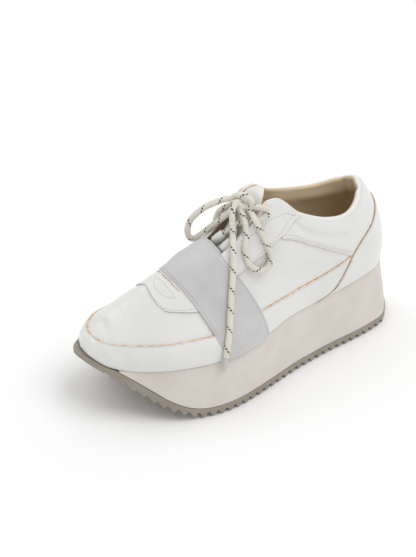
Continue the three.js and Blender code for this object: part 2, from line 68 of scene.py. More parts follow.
def place(points):
    """Points in millimetres in the axes of the last, as metres in the frame."""
    return (np.asarray(points, float) - CENTRE) * MM


# %% [markdown]
# The camera looks at the front outer side from a little above. A short lens close by would
# swell the toe, and a parallel view would flatten the shoe, so it stands well back with a
# long lens, and the toe and the heel keep their true proportions.

# %% Camera
CAMERA_AZIMUTH, CAMERA_HEIGHT, CAMERA_ROLL = np.radians([56.0, 33.8, 0.69])
CAMERA_AIM = np.array([-46.9, -2.9, 45.0])
CAMERA_DISTANCE = 1133.8
CAMERA_LENS = 92.46


def make_camera():
    """Puts the camera on a sphere round its aim, turned a little about its own axis."""
    a, e = CAMERA_AZIMUTH, CAMERA_HEIGHT
    back = np.array([np.sin(a) * np.cos(e), -np.cos(a) * np.cos(e), np.sin(e)])
    level = np.array([np.cos(a), np.sin(a), 0.0])
    rise = np.cross(back, level)
    right = level * np.cos(CAMERA_ROLL) + rise * np.sin(CAMERA_ROLL)
    up = rise * np.cos(CAMERA_ROLL) - level * np.sin(CAMERA_ROLL)
    camera = bpy.data.objects.new("camera", bpy.data.cameras.new("camera"))
    bpy.context.scene.collection.objects.link(camera)
    turn = Matrix(np.column_stack([right, up, back]).tolist()).to_4x4()
    camera.matrix_world = Matrix.Translation(place(CAMERA_AIM + back * CAMERA_DISTANCE)) @ turn
    camera.data.lens = CAMERA_LENS
    camera.data.clip_start, camera.data.clip_end = 0.05, 20.0
    bpy.context.scene.camera = camera
    return camera


print("camera at", [round(x, 3) for x in make_camera().location])

# %% [markdown]
# Nothing dyed, tanned or moulded has one even colour or a perfectly flat surface. Both
# could be drawn by hand for each finish, but two small effects serve all of them, so each
# is a node group made once: a slow drift of the colour, and a fine grain for the bump.

# %% Shared shader groups
NOISE_DETAIL = 3.0
DRIFT_LOW, DRIFT_HIGH = 0.35, 0.65        # the part of the noise that the drift stretches
FINER, FINE_SHARE = 3.0, 0.5              # the grain's second noise


def new_group(name, inputs, outputs):
    """An empty shader group with named sockets, each given as (name, kind)."""
    group = bpy.data.node_groups.new(name, "ShaderNodeTree")
    for way, sockets in (("INPUT", inputs), ("OUTPUT", outputs)):
        for label, kind in sockets:
            group.interface.new_socket(label, in_out=way, socket_type="NodeSocket" + kind)
    return group, group.nodes.new("NodeGroupInput"), group.nodes.new("NodeGroupOutput")


def feed(tree, value, socket):
    """Links an input to another node's output, or sets it to a plain number or colour."""
    if isinstance(value, bpy.types.NodeSocket):
        tree.links.new(value, socket)
    elif value is not None:
        socket.default_value = value


def noise(tree, vector, scale):
    """A noise texture at a vector, with its scale set or linked."""
    node = tree.nodes.new("ShaderNodeTexNoise")
    node.inputs["Detail"].default_value = NOISE_DETAIL
    feed(tree, vector, node.inputs["Vector"])
    feed(tree, scale, node.inputs["Scale"])
    return node.outputs["Fac"]


def math_node(tree, operation, a, b=None, c=None):
    """A Math node fed with sockets or plain numbers."""
    node = tree.nodes.new("ShaderNodeMath")
    node.operation = operation
    for socket, value in zip(node.inputs, (a, b, c)):
        feed(tree, value, socket)
    return node.outputs[0]


def mix_colours(tree, share, first, second):
    """A Mix node from the first colour, at a share of 0, to the second, at 1."""
    node = tree.nodes.new("ShaderNodeMix")
    node.data_type = "RGBA"
    for index, value in ((0, share), (6, first), (7, second)):
        feed(tree, value, node.inputs[index])
    return node.outputs[2]


def bumped(tree, height, distance):
    """The normal that a height gives over a distance in metres."""
    node = tree.nodes.new("ShaderNodeBump")
    feed(tree, height, node.inputs["Height"])
    feed(tree, distance, node.inputs["Distance"])
    return node.outputs["Normal"]


def make_drift():
    """Mixes two colours by a slow noise whose middle part is stretched to run from 0 to 1."""
    group, given, made = new_group(
        "colour_drift",
        (("Vector", "Vector"), ("Colour", "Color"), ("Second", "Color"), ("Scale", "Float")),
        (("Colour", "Color"),))
    slow = noise(group, given.outputs["Vector"], given.outputs["Scale"])
    spread = group.nodes.new("ShaderNodeMapRange")
    for label, value in (("From Min", DRIFT_LOW), ("From Max", DRIFT_HIGH), ("Value", slow)):
        feed(group, value, spread.inputs[label])
    mixed = mix_colours(group, spread.outputs[0], given.outputs["Colour"],
                        given.outputs["Second"])
    feed(group, mixed, made.inputs["Colour"])
    return group


def make_grain():
    """A bump normal from two noises added up, one three times finer than the other."""
    group, given, made = new_group(
        "fine_grain", (("Vector", "Vector"), ("Scale", "Float"), ("Depth", "Float")),
        (("Normal", "Vector"),))
    vector, scale = given.outputs["Vector"], given.outputs["Scale"]
    coarse = noise(group, vector, scale)
    fine = noise(group, vector, math_node(group, "MULTIPLY", scale, FINER))
    height = math_node(group, "MULTIPLY_ADD", fine, FINE_SHARE, coarse)
    feed(group, bumped(group, height, given.outputs["Depth"]), made.inputs["Normal"])
    return group


DRIFT, GRAIN = make_drift(), make_grain()
COAT_ROUGHNESS = 0.35


def shader_group(material, group, **values):
    """Places a shared group in a material; each value is a socket or a constant."""
    node = material.node_tree.nodes.new("ShaderNodeGroup")
    node.node_tree = group
    for label, value in values.items():
        feed(material.node_tree, value, node.inputs[label])
    return node


def finish_material(name, colour, second, roughness, drift, grain, depth, sheen=0.0, coat=0.0):
    """A Principled finish whose colour drifts between two, and whose surface has a grain.
    drift and grain count the noise's spots in a metre, and depth is in metres."""
    material = bpy.data.materials.new(name)
    material.use_nodes = True
    tree = material.node_tree
    surface = tree.nodes["Principled BSDF"]
    where = tree.nodes.new("ShaderNodeTexCoord").outputs["Object"]
    drifted = shader_group(material, DRIFT, Vector=where, Colour=(*colour, 1),
                           Second=(*second, 1), Scale=drift)
    grained = shader_group(material, GRAIN, Vector=where, Scale=grain, Depth=depth)
    for label, value in (("Base Color", drifted.outputs["Colour"]),
                         ("Normal", grained.outputs["Normal"]), ("Roughness", roughness),
                         ("Sheen Weight", sheen), ("Coat Weight", coat),
                         ("Coat Roughness", COAT_ROUGHNESS)):
        feed(tree, value, surface.inputs[label])
    return material


# %% [markdown]
# The shoe is smooth coated leather with raw tan cut edges, a tan lining, dense foam,
# rubber, thread and moulded tips. The grey-beige on folded edges is painted shade, and the
# insole's tan is darkened as painted shade of the deep inside. Each finish could have a
# node tree of its own, but they differ only in colour, gloss and grain, so one function
# makes them all from a few numbers.

# %% Plain finishes
LEATHER = finish_material("white_leather", (0.815, 0.812, 0.792), (0.77, 0.766, 0.745), 0.34,
                          drift=22, grain=1100, depth=0.00003, coat=0.3)
RAW_EDGE = finish_material("raw_edge", (0.55, 0.33, 0.18), (0.80, 0.65, 0.50), 0.85,
                           drift=260, grain=1500, depth=0.0003)
COUNTER_EDGE = finish_material("counter_edge", (0.34, 0.19, 0.105), (0.60, 0.41, 0.27), 0.85,
                               drift=300, grain=1500, depth=0.0003)
# Grey-beige painted shade: the thin shade line along a folded white edge, not a colour of the
# leather.
FOLD_PAINTED_SHADE = finish_material("folded_edge_painted_shade", (0.50, 0.455, 0.40), (0.66, 0.62, 0.57), 0.7,
                       drift=180, grain=1300, depth=0.0001)
LINING = finish_material("tan_lining", (0.74, 0.60, 0.42), (0.66, 0.525, 0.355), 0.75,
                         drift=30, grain=1200, depth=0.0001, sheen=0.2)
FOAM = finish_material("platform_foam", (0.74, 0.69, 0.64), (0.70, 0.645, 0.595), 0.72,
                       drift=55, grain=1400, depth=0.00015)
RUBBER = finish_material("outsole_rubber", (0.36, 0.315, 0.26), (0.31, 0.27, 0.22), 0.66,
                         drift=60, grain=1300, depth=0.0001)
THREAD = finish_material("thread", (0.50, 0.465, 0.42), (0.42, 0.38, 0.335), 0.8,
                         drift=300, grain=2500, depth=0.0001)
BROWN_THREAD = finish_material("brown_thread", (0.25, 0.15, 0.09), (0.33, 0.21, 0.13), 0.8,
                               drift=300, grain=2500, depth=0.0001)
# The insole's tan, darkened as painted shade of the deep inside of the shoe.
INSOLE_CLOTH_AND_SHADE = finish_material("insole_cloth_and_painted_shade", (0.40, 0.31, 0.20), (0.34, 0.26, 0.17), 0.85,
                               drift=40, grain=1500, depth=0.0001)
AGLET = finish_material("aglet_tip", (0.62, 0.61, 0.575), (0.56, 0.55, 0.515), 0.3,
                        drift=90, grain=700, depth=0.00003, coat=0.4)
PLAIN = (LEATHER, RAW_EDGE, COUNTER_EDGE, FOLD_PAINTED_SHADE, LINING, FOAM, RUBBER, THREAD, BROWN_THREAD,
         INSOLE_CLOTH_AND_SHADE, AGLET)
print("plain finishes:", [material.name for material in PLAIN])

# %% [markdown]
# The elastic is woven in fine ribs that run along the band, and the lace is a braid with a
# dark tracer thread. Real ribs and strands would be thousands of tiny shapes. A ripple of
# the piece's own UV map, which counts millimetres, gives the same look at the same scale
# and follows every bend.

# %% Elastic and lace finishes
RIB_PITCH, WEFT_PITCH = 0.95, 0.7         # millimetres between ribs, and between rows
WEFT_SHARE = 0.35                         # how strong the rows are beside the ribs
WEAVE_DEPTH = 0.00008                     # metres


def uv_numbers(tree):
    """The two numbers of the piece's own UV map, apart."""
    apart = tree.nodes.new("ShaderNodeSeparateXYZ")
    feed(tree, tree.nodes.new("ShaderNodeTexCoord").outputs["UV"], apart.inputs[0])
    return apart.outputs[0], apart.outputs[1]


def ripple(tree, value, pitch):
    """The sine of a value, with one full turn to each pitch."""
    return math_node(tree, "SINE", math_node(tree, "MULTIPLY", value, TAU / pitch))


def make_elastic():
    """Ribs as a sine of the distance across, crossed by a fainter sine along the band."""
    material = finish_material("elastic_ribs", (0.645, 0.635, 0.637), (0.605, 0.595, 0.597),
                               0.85, drift=60, grain=2000, depth=0.00003, sheen=0.25)
    tree = material.node_tree
    across, along = uv_numbers(tree)
    height = math_node(tree, "MULTIPLY_ADD", ripple(tree, along, WEFT_PITCH), WEFT_SHARE,
                       ripple(tree, across, RIB_PITCH))
    feed(tree, bumped(tree, height, WEAVE_DEPTH), tree.nodes["Principled BSDF"].inputs["Normal"])
    return material


TRACER_PITCH, TRACER_HALF = 14.6, 0.062   # millimetres of lace, and share of its girth
DOT_PITCH, DOT_LEVEL = 2.0, -0.25         # a dot shows where its ripple is above the level
BRAID_PITCH, BRAID_STRANDS = 1.6, 8
TRACER_DARK = (0.012, 0.012, 0.016, 1)


def make_rope():
    """A braid with a dark tracer. The tracer is a spiral, turns round the lace plus turns
    along it, and shows as dots where a ripple along the lace is high. The braid is the
    product of two ripples that wind opposite ways."""
    material = finish_material("lace_rope", (0.80, 0.76, 0.675), (0.75, 0.705, 0.615), 0.85,
                               drift=90, grain=2000, depth=0.00005, sheen=0.3)
    tree = material.node_tree
    surface = tree.nodes["Principled BSDF"]
    around, along = uv_numbers(tree)
    spiral = math_node(tree, "FRACT", math_node(
        tree, "ADD", around, math_node(tree, "MULTIPLY", along, 1 / TRACER_PITCH)))
    near = math_node(tree, "ABSOLUTE", math_node(tree, "SUBTRACT", spiral, 0.5))
    on_line = math_node(tree, "LESS_THAN", near, TRACER_HALF)
    on_dot = math_node(tree, "GREATER_THAN", ripple(tree, along, DOT_PITCH), DOT_LEVEL)
    plain = surface.inputs["Base Color"].links[0].from_socket
    traced = mix_colours(tree, math_node(tree, "MULTIPLY", on_line, on_dot), plain, TRACER_DARK)
    feed(tree, traced, surface.inputs["Base Color"])
    strands = math_node(tree, "MULTIPLY", along, TAU / BRAID_PITCH)
    twist = math_node(tree, "MULTIPLY", around, TAU * BRAID_STRANDS)
    left = math_node(tree, "SINE", math_node(tree, "ADD", strands, twist))
    right = math_node(tree, "SINE", math_node(tree, "SUBTRACT", strands, twist))
    braid = math_node(tree, "MULTIPLY", left, right)
    feed(tree, bumped(tree, braid, WEAVE_DEPTH), surface.inputs["Normal"])
    return material


ELASTIC, ROPE = make_elastic(), make_rope()
print("elastic ribs every", RIB_PITCH, "mm; tracer turns every", TRACER_PITCH, "mm")

# %% [markdown]
# A shoe is built round a last, a solid foot shape. It could be modelled as one sculpted
# block, but then nothing could be laid on it by measure. Here it is a table: each column
# is one measure of the shoe from the toe tip to the heel, and a Catmull-Rom spline through
# a column gives its value anywhere between. One number goes round the whole shoe: turn = 0
# at the toe, 15 at the heel by the outer side, and 30 at the toe again by the inner side.

# %% The last
SECTIONS = {
    "y": [-133, -127.5, -113, -97.5, -81, -60, -42, -23, -2, 18, 38, 57, 75, 94, 113, 128.5],
    "z": [46.6, 45, 42.2, 41.6, 43, 44, 44, 44, 45.5, 48, 49, 50, 51.4, 53, 54.2, 54.8],
    "lat": [-13, 8.5, 20.5, 30, 39.5, 46, 47.5, 44.5, 38.5, 33.5, 31, 29, 27.3, 25, 19, 1],
    "med": [-13, -30.5, -39.5, -42.5, -43, -41.5, -38.5, -34, -29, -26.5, -26, -26.5, -26.5,
            -24.5, -17, 1],
    "sole_y": [-138.5, -130, -114, -98, -81, -60, -42, -23, -2, 18.5, 39.5, 60, 79.5, 101,
               122, 137.5],
    "sole_lat": [-19, 10, 23.6, 37, 47.4, 53, 53.8, 51, 46.3, 41.5, 38, 35.5, 34, 31.5, 24.5, 1],
    "sole_med": [-19, -32, -43, -47.5, -49, -48, -45.5, -41.5, -37, -34, -33.5, -34, -34.5,
                 -32.5, -24, 1],
    "top_y": [-117.5, -116, -113.5, -106, -96, -84, -69, -51, -32, -10.5, 12.5, 33, 55, 77,
              94.5, 103],
    "top_z": [66.5, 68, 72, 76.5, 82.5, 90, 98.3, 103.5, 108.5, 125, 144, 127.5, 117.5,
              114.5, 120.5, 128.5],
    "top_x": [-13, -13, -12.6, -11.4, -9.8, -7.6, -4.6, -2.2, -0.8, 0, 0, 0, 0.2, 0.6, 0.4, 0],
    "half": [0, 0, 0, 0, 0, 0, 0, 9, 12.5, 14, 16.5, 23.5, 27, 25, 15.5, 0],
    "rise": [0, 0, 0, 0, 0, 0, 0, 0, 0, -1, -4, 0, 2, 2.5, 2, 0],
    "lean": [-8, -3, 6, 4, 2, 0, -2, -3, -4, -3, -1, 1, 2, 3, 4, 3],
    "foot": [12, 13, 17, 18, 18, 18, 18, 18, 19, 20, 22, 22, 22, 22, 26, 28],
    "heading": [-90, -42, -18, -8, -3, 0, 0, 0, 0, 3, 6, 4, 2, 16, 42, 90],
    "drop": [30, 21, 12, 6, 3, 2, 3, 22, 36, 50, 64, 74, 78, 74, 64, 52],
    "reach": [5, 8, 12, 14, 15, 15, 15, 14, 16, 18, 22, 20, 18, 18, 26, 28],
}
SECTIONS = {name: np.array(column, float) for name, column in SECTIONS.items()}
HEEL, THROAT, COLLAR = 15, 6, 10
EAR_ROW, EAR_SPREAD, EAR_HEIGHT = 9.6, 0.24, 3.2
LEATHER_WALL, COLLAR_WALL = 2.2, 4.6


def smooth(x, low, high):
    """0 below low, 1 above high, and an S-shaped cubic between them."""
    f = np.clip((x - low) / (high - low), 0, 1)
    return f * f * (3 - 2 * f)


def spline(near, far, row):
    """Catmull-Rom through a column; past either end it goes on along the other side's."""
    ends = np.concatenate([far[1:2], near, far[-2:-1]])
    k = np.clip(np.floor(row).astype(int), 0, HEEL - 1)
    f = row - k
    a, b, c, d = (ends[k + i] for i in range(4))
    return b + 0.5 * f * (c - a + f * (2 * a - 5 * b + 4 * c - d + f * (3 * (b - c) + d - a)))


def row_side(turn):
    """The row and the side, +1 outer or -1 inner, at a turn round the shoe."""
    turn = np.mod(turn, 2 * HEEL)
    return np.where(turn <= HEEL, turn, 2 * HEEL - turn), np.where(turn <= HEEL, 1.0, -1.0)


def even(name, row):
    """A measure that both sides share, at a row."""
    return spline(SECTIONS[name], SECTIONS[name], row)


def sided(outer, inner, row, side):
    """A measure with a column for each side, at a row of one side."""
    a, b = SECTIONS[outer], SECTIONS[inner]
    return np.where(side > 0, spline(a, b, row), spline(b, a, row))


def loop_point(outer, inner, y, turn, z=0.0):
    """A point of a level outline: x from its side's column, y from the shared one."""
    row, side = row_side(turn)
    x = sided(outer, inner, row, side)
    return np.stack([x, even(y, row), np.broadcast_to(z, x.shape)], -1)


def outward(outer, inner, y, turn):
    """Level direction square to an outline: its tangent turned by a right angle."""
    d = 0.02
    along = loop_point(outer, inner, y, turn + d) - loop_point(outer, inner, y, turn - d)
    out = np.stack([along[..., 1], -along[..., 0], 0 * along[..., 0]], -1)
    return out / np.linalg.norm(out, axis=-1, keepdims=True)


def rib(turn, v):
    """A cubic Bezier from the feather line (v = 0) to the top line (v = 1). Its lower
    handle leans in from the foot, and its upper one drops from the top line."""
    turn, v = np.broadcast_arrays(np.asarray(turn, float), np.asarray(v, float))
    row, side = row_side(turn)
    foot = loop_point("lat", "med", "y", turn, even("z", row))
    half = np.where(row <= THROAT, 0, spline(SECTIONS["half"], -SECTIONS["half"], row))
    rise = np.where((side < 0) & (row > THROAT + 2), even("rise", row), 0)
    ear = EAR_HEIGHT * np.exp(-((row - EAR_ROW) / EAR_SPREAD) ** 2)
    top = np.stack([even("top_x", row) + side * half, even("top_y", row),
                    even("top_z", row) + rise + ear], -1)
    lean, drop = np.radians(even("lean", row)), np.radians(even("drop", row))
    level = np.cos(np.radians(SECTIONS["heading"]))
    ahead = np.sin(np.radians(SECTIONS["heading"]))
    head = np.stack([side * spline(level, -level, row), spline(ahead, ahead, row), 0 * row], -1)
    head /= np.linalg.norm(head, axis=-1, keepdims=True)
    up = np.array([0.0, 0.0, 1.0])
    low = foot + even("foot", row)[..., None] * (
        outward("lat", "med", "y", turn) * np.sin(lean)[..., None] + up * np.cos(lean)[..., None])
    high = top + even("reach", row)[..., None] * (
        head * np.cos(drop)[..., None] - up * np.sin(drop)[..., None])
    v = v[..., None]
    return ((1 - v) ** 3 * foot + 3 * v * (1 - v) ** 2 * low
            + 3 * v ** 2 * (1 - v) * high + v ** 3 * top)


def rib_normal(turn, v):
    """Square to the surface: the cross product of its two tangents."""
    d = 0.015
    w = np.clip(v, d, 1 - 2 * d)
    normal = np.cross(rib(turn + d, w) - rib(turn - d, w), rib(turn, w + d) - rib(turn, w - d))
    return normal / np.linalg.norm(normal, axis=-1, keepdims=True)


def skin(turn, v, out=0.0):
    """A point of the upper moved out by some distance along its normal. Near the ridge
    over the toes the normals of the two sides are blended, so that they meet."""
    turn, v, out = np.broadcast_arrays(
        np.asarray(turn, float), np.asarray(v, float), np.asarray(out, float))
    row, _ = row_side(turn)
    normal = rib_normal(turn, v)
    share = (smooth(v, 0.9, 1.0) * (row <= THROAT))[..., None]
    normal = normal + share * rib_normal(-turn, v)
    normal /= np.linalg.norm(normal, axis=-1, keepdims=True)
    point = rib(turn, v) + normal * out[..., None]
    point[..., 2] = np.where(v <= 0, even("z", row), point[..., 2])
    return point


print("top of the heel:", skin(HEEL, 1.0).round(1))

# %% [markdown]
# Boards, straps and tubes could each come from another modifier, but a grid of points
# whose place is a formula can be any of them. These helpers join the grid's neighbours
# into faces, weld the points that coincide, and hand the result over with its finish.

# %% Mesh helpers
WELD, SLIVER = 2e-6, 1e-6                 # metres
SPLINE_STEPS = 24
ASLANT = np.array([0.3, 0.2, 1.0])        # a direction along which no lace runs


def grid_faces(rows, columns, closed=False, start=0):
    """Quads between neighbours of a grid; closed joins the last row to the first."""
    i = np.arange(rows if closed else rows - 1)[:, None]
    j = np.arange(columns - 1)[None, :]
    after = (i + 1) % rows
    corners = [i * columns + j, after * columns + j, after * columns + j + 1, i * columns + j + 1]
    return start + np.stack(np.broadcast_arrays(*corners), -1).reshape(-1, 4)


def make_piece(name, points, faces, slot, *materials, uv=None, which=None, sharp=None,
               outside=True, weld=True):
    """One object from points in millimetres and quads; which gives each face's material."""
    mesh = bpy.data.meshes.new(name)
    mesh.from_pydata(place(points).tolist(), [], np.asarray(faces).tolist())
    for material in materials:
        mesh.materials.append(material)
    if which is not None:
        mesh.polygons.foreach_set("material_index", np.asarray(which, np.int32))
    if uv is not None:
        layer = mesh.uv_layers.new(name="UVMap")
        corner = np.zeros(len(mesh.loops), np.int32)
        mesh.loops.foreach_get("vertex_index", corner)
        layer.data.foreach_set("uv", np.asarray(uv, np.float32)[corner].ravel())
    work = bmesh.new()
    work.from_mesh(mesh)
    if weld:
        bmesh.ops.remove_doubles(work, verts=work.verts, dist=WELD)
    bmesh.ops.dissolve_degenerate(work, edges=work.edges, dist=SLIVER)
    if outside:
        bmesh.ops.recalc_face_normals(work, faces=work.faces)
    work.to_mesh(mesh)
    work.free()
    mesh.polygons.foreach_set("use_smooth", np.ones(len(mesh.polygons), bool))
    if sharp is not None:
        mesh.set_sharp_from_angle(angle=np.radians(sharp))
    piece = bpy.data.objects.new(name, mesh)
    bpy.context.scene.collection.objects.link(piece)
    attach(piece, "root")
    return piece


def grid_piece(name, grid, slot, *materials, **more):
    """One object from a single grid of points."""
    return make_piece(name, grid.reshape(-1, 3), grid_faces(*grid.shape[:2]), slot,
                      *materials, **more)


def path_length(path):
    """Length of a path up to each of its points: the sum of the steps before it."""
    return np.concatenate([[0], np.cumsum(np.linalg.norm(np.diff(path, axis=0), axis=1))])


def smooth_path(points, step):
    """Catmull-Rom through a few points, sampled again at even steps along its length."""
    p = np.asarray(points, float)
    p = np.vstack([2 * p[0] - p[1], p, 2 * p[-1] - p[-2]])
    f = np.linspace(0, 1, SPLINE_STEPS, endpoint=False)[None, :, None]
    a, b, c, d = (p[i:len(p) - 3 + i, None] for i in range(4))
    dense = b + 0.5 * f * (c - a + f * (2 * a - 5 * b + 4 * c - d + f * (3 * (b - c) + d - a)))
    dense = np.vstack([dense.reshape(-1, p.shape[1]), p[-2]])
    walked = path_length(dense)
    at = np.linspace(0, walked[-1], max(2, int(walked[-1] / step) + 1))
    return np.stack([np.interp(at, walked, column) for column in dense.T], -1)


def carried_frames(path):
    """Two directions square to a path, carried along it with no twist."""
    tangent = np.gradient(path, axis=0)
    tangent /= np.linalg.norm(tangent, axis=1, keepdims=True)
    side = np.cross(tangent[0], ASLANT)
    sides = []
    for t in tangent:
        side = side - t * side.dot(t)
        side = side / np.linalg.norm(side)
        sides.append(side)
    sides = np.array(sides)
    return sides, np.cross(tangent, sides)


def tube_grid(path, radius, around=14):
    """Circles carried along a path, closed by a point at each end."""
    side, rise = carried_frames(path)
    turn = np.linspace(0, TAU, around + 1)
    radius = np.broadcast_to(radius, len(path))[:, None, None]
    rings = path[:, None] + radius * (
        side[:, None] * np.cos(turn)[None, :, None] + rise[:, None] * np.sin(turn)[None, :, None])
    first, last = (np.repeat(path[k][None, None], around + 1, 1) for k in (0, -1))
    walked = path_length(path)
    along = np.concatenate([[walked[0]], walked, [walked[-1]]])
    uv = np.stack(np.broadcast_arrays(turn[None] / TAU, along[:, None]), -1)
    return np.concatenate([first, rings, last]), uv.reshape(-1, 2)


def make_tube(name, path, radius, slot, material, around=14):
    """A round piece along a path; its UV counts turns around and millimetres along."""
    grid, uv = tube_grid(path, radius, around)
    return grid_piece(name, grid, slot, material, uv=uv, sharp=60)


# %% [markdown]
# A thick round rope lace passes under the elastic band, through two sleeves, and ends in
# a bow. A simulated string would settle a little differently at every change, and a bow
# is tied, not dropped, so each free part is one tube along a route of listed points.
# The laces come this early because a cord has a fixed length and must stay near the shoe.

# %% Laces
LACE, LACE_STEP, AGLET_STEP = 4.6, 0.8, 0.5
AGLET_RADIUS, AGLET_WAIST, AGLET_TAPER = 2.05, 0.25, 0.75
ROUTES = {
    "loop_lateral": [
        (1.6, -5.6, 139.6), (5.6, -4.8, 139.2), (11, -4.6, 136.4), (18.4, -5.4, 132.4),
        (22.6, -2.8, 123.4), (25.3, -0.2, 114.1), (27.3, 2.6, 105.6), (28.2, 0.6, 98.4),
        (28.5, -6.1, 95.6), (26.7, -12.6, 99.1), (23.8, -16.2, 105.1), (20.8, -16.5, 114.1),
        (18.6, -13.6, 121.3), (13.6, -11.2, 128.6), (9, -10.5, 133.6), (4.2, -9.8, 137.6),
        (1.2, -8.6, 139.4)],
    "loop_medial": [
        (-2.4, -7.4, 141.6), (-6.2, -8.6, 141), (-12, -15, 138.5), (-16, -23, 135),
        (-20, -30, 129.5), (-24, -35, 121), (-24.5, -37, 112), (-23.5, -33.5, 105),
        (-19.5, -29, 109), (-13, -22.6, 118.6), (-8, -17.5, 125.6), (-4.6, -12.6, 131.5),
        (-3.2, -9.6, 136.2), (-2, -8.4, 138.8)],
    "end_lateral": [
        (0.6, -8, 141.6), (1.8, -11.2, 141.6), (4.6, -16.6, 139.6), (7.6, -19, 131.6),
        (11.4, -20.9, 122.6), (18.5, -25.1, 114.8), (22.6, -27.7, 105.4), (26.6, -30.8, 96),
        (32.3, -35.5, 85.1), (38.2, -40.3, 74.2), (43.6, -44.3, 64.8), (48.7, -49.3, 56.9),
        (51.6, -52.6, 49.2)],
    "end_medial": [
        (-3.4, -5, 138.4), (-6.6, -4, 136.6), (-11, -8.6, 132.6), (-16.5, -13.5, 126.5),
        (-20.6, -13.6, 118.5), (-24.6, -11.6, 109), (-28, -9, 99), (-30.6, -6.6, 89),
        (-32.6, -4.6, 79), (-34.4, -3, 69), (-36.4, -1.6, 59.5), (-38.4, -0.6, 50.5)],
}
AGLETS = {
    "lateral": [(51.5, -52.4, 49.7), (52.5, -54.2, 43.5), (52.8, -55.1, 38.1)],
    "medial": [(-38.4, -0.6, 50.8), (-39.4, 0, 44.8), (-40, 0.3, 39.5)],
}
KNOT_STRANDS = {
    "wrap": [(-5.6, -8.4, 137), (-6, -8.6, 141), (-2.6, -8.6, 145), (3, -6, 147.2),
             (8, -3.6, 145.6), (9.6, -3, 141.6), (7.4, -4.6, 138.2), (3, -5.6, 137.2)],
    "cross": [(-5.6, -5, 138.4), (-3, -10, 140.6), (1.2, -11, 141.4), (4.8, -8.2, 139.2),
              (4.6, -4.6, 136.6)],
    "to_outer_eyelet": [(2.6, -5, 138.2), (8.4, -3, 139.4), (15, -0.6, 141),
                        (19.4, 1.8, 141.4), (21.6, 3.2, 139.2), (20.6, 1.2, 135.6),
                        (17.6, -3.2, 132), (10.4, -6.6, 128)],
    "to_inner_eyelet": [(-2.6, -5, 138.2), (-8, -3, 136.4), (-12.4, -1.4, 134),
                        (-14.4, -1.8, 131.2), (-12, -4.4, 128.8), (-8, -7, 127.4)],
}


def lace_radius(path):
    """Half the lace's thickness, with the faint swelling of a loose braid: two sines."""
    walked = np.arange(len(path)) * LACE_STEP
    return LACE / 2 * (1 + 0.025 * np.sin(walked * 0.9) + 0.02 * np.sin(walked * 0.37 + 1))


def make_lace(part):
    """A free part of the lace: a tube along its smoothed route."""
    path = smooth_path(ROUTES[part], LACE_STEP)
    piece = make_tube(f"lace_{part}_rope", path, lace_radius(path), "lace_rope", ROPE)
    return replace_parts(piece, f"lace_{part}"), path


def make_aglet(side):
    """A tip: a smooth sleeve a little thinner than the lace, narrowed at its end."""
    path = smooth_path(AGLETS[side], AGLET_STEP)
    f = np.linspace(0, 1, len(path))
    radius = AGLET_RADIUS - AGLET_TAPER * smooth(f, 0.82, 1.0) - AGLET_WAIST * smooth(f, 0.05, 0.5)
    piece = make_tube(f"aglet_{side}_tip", path, radius, "aglet_tip", AGLET, around=18)
    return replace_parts(piece, f"aglet_{side}")


def lace_strands(name, node, strands):
    """Several strands of lace as one piece, which stands for one solid."""
    points, faces, uvs = [], [], []
    for strand in strands.values():
        grid, uv = tube_grid(smooth_path(strand, LACE_STEP), LACE / 2)
        faces.append(grid_faces(*grid.shape[:2], start=sum(len(p) for p in points)))
        points.append(grid.reshape(-1, 3))
        uvs.append(uv)
    piece = make_piece(name, np.vstack(points), np.vstack(faces), "lace_rope", ROPE,
                       uv=np.vstack(uvs), sharp=60)
    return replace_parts(piece, node)


knot = lace_strands("lace_knot_strands", "lace_knot", KNOT_STRANDS)
for side in ("lateral", "medial"):
    for part in ("loop", "end"):
        piece, path = make_lace(f"{part}_{side}")
        on_it = [make_aglet(side)] if part == "end" else ([knot] if side == "lateral" else [])

# %% [markdown]
# The outsole is a thin rubber slab that follows the floor from heel to ball, then bends
# up in an arc and a straight rise to the toe. Lugs cross it from side to side. They could
# be cut out of a slab one by one, but a profile that says how deep the tread is at every
# point along the shoe holds them all, and their spacing can follow the bend.

# %% Sole profile
ROCKER_START, ROCKER_RADIUS, ROCKER_PITCH = -60.0, 64.0, np.radians(39.5)
NOSE_START, NOSE_PITCH = -131.3, np.radians(22)
OUTSOLE, TOE_REST = 7.0, 0.9
LUG_PITCH, LUG_DEPTH, LUG_LAND, LUG_VALLEY = 7.32, 3.5, 1.5, 1.7
DENSE_ROWS = np.linspace(0, HEEL, 3001)


def rocker(y):
    """Height of the lug tips: flat, then an arc, then a straight rise that levels out."""
    ahead = np.maximum(0, ROCKER_START - y)
    on_arc = np.minimum(ahead, ROCKER_RADIUS * np.sin(ROCKER_PITCH))
    arc = ROCKER_RADIUS - np.sqrt(ROCKER_RADIUS ** 2 - on_arc ** 2)
    nose = np.maximum(0, NOSE_START - y)
    return arc + (ahead - on_arc - nose) * np.tan(ROCKER_PITCH) + nose * np.tan(NOSE_PITCH)


def row_at(column, y):
    """The row at which a column of the last reaches some y."""
    return np.interp(y, even(column, DENSE_ROWS), DENSE_ROWS)


def slope_at(y):
    """The profile's slope: its rise over two millimetres, halved."""
    return (rocker(y + 1) - rocker(y - 1)) / 2


def outsole_top(y):
    """Parallel to the lug tips, and no higher than the upper's own edge at the toe."""
    parallel = rocker(y) + OUTSOLE * np.hypot(1, slope_at(y))
    return np.minimum(parallel, even("z", row_at("y", y)) - TOE_REST)


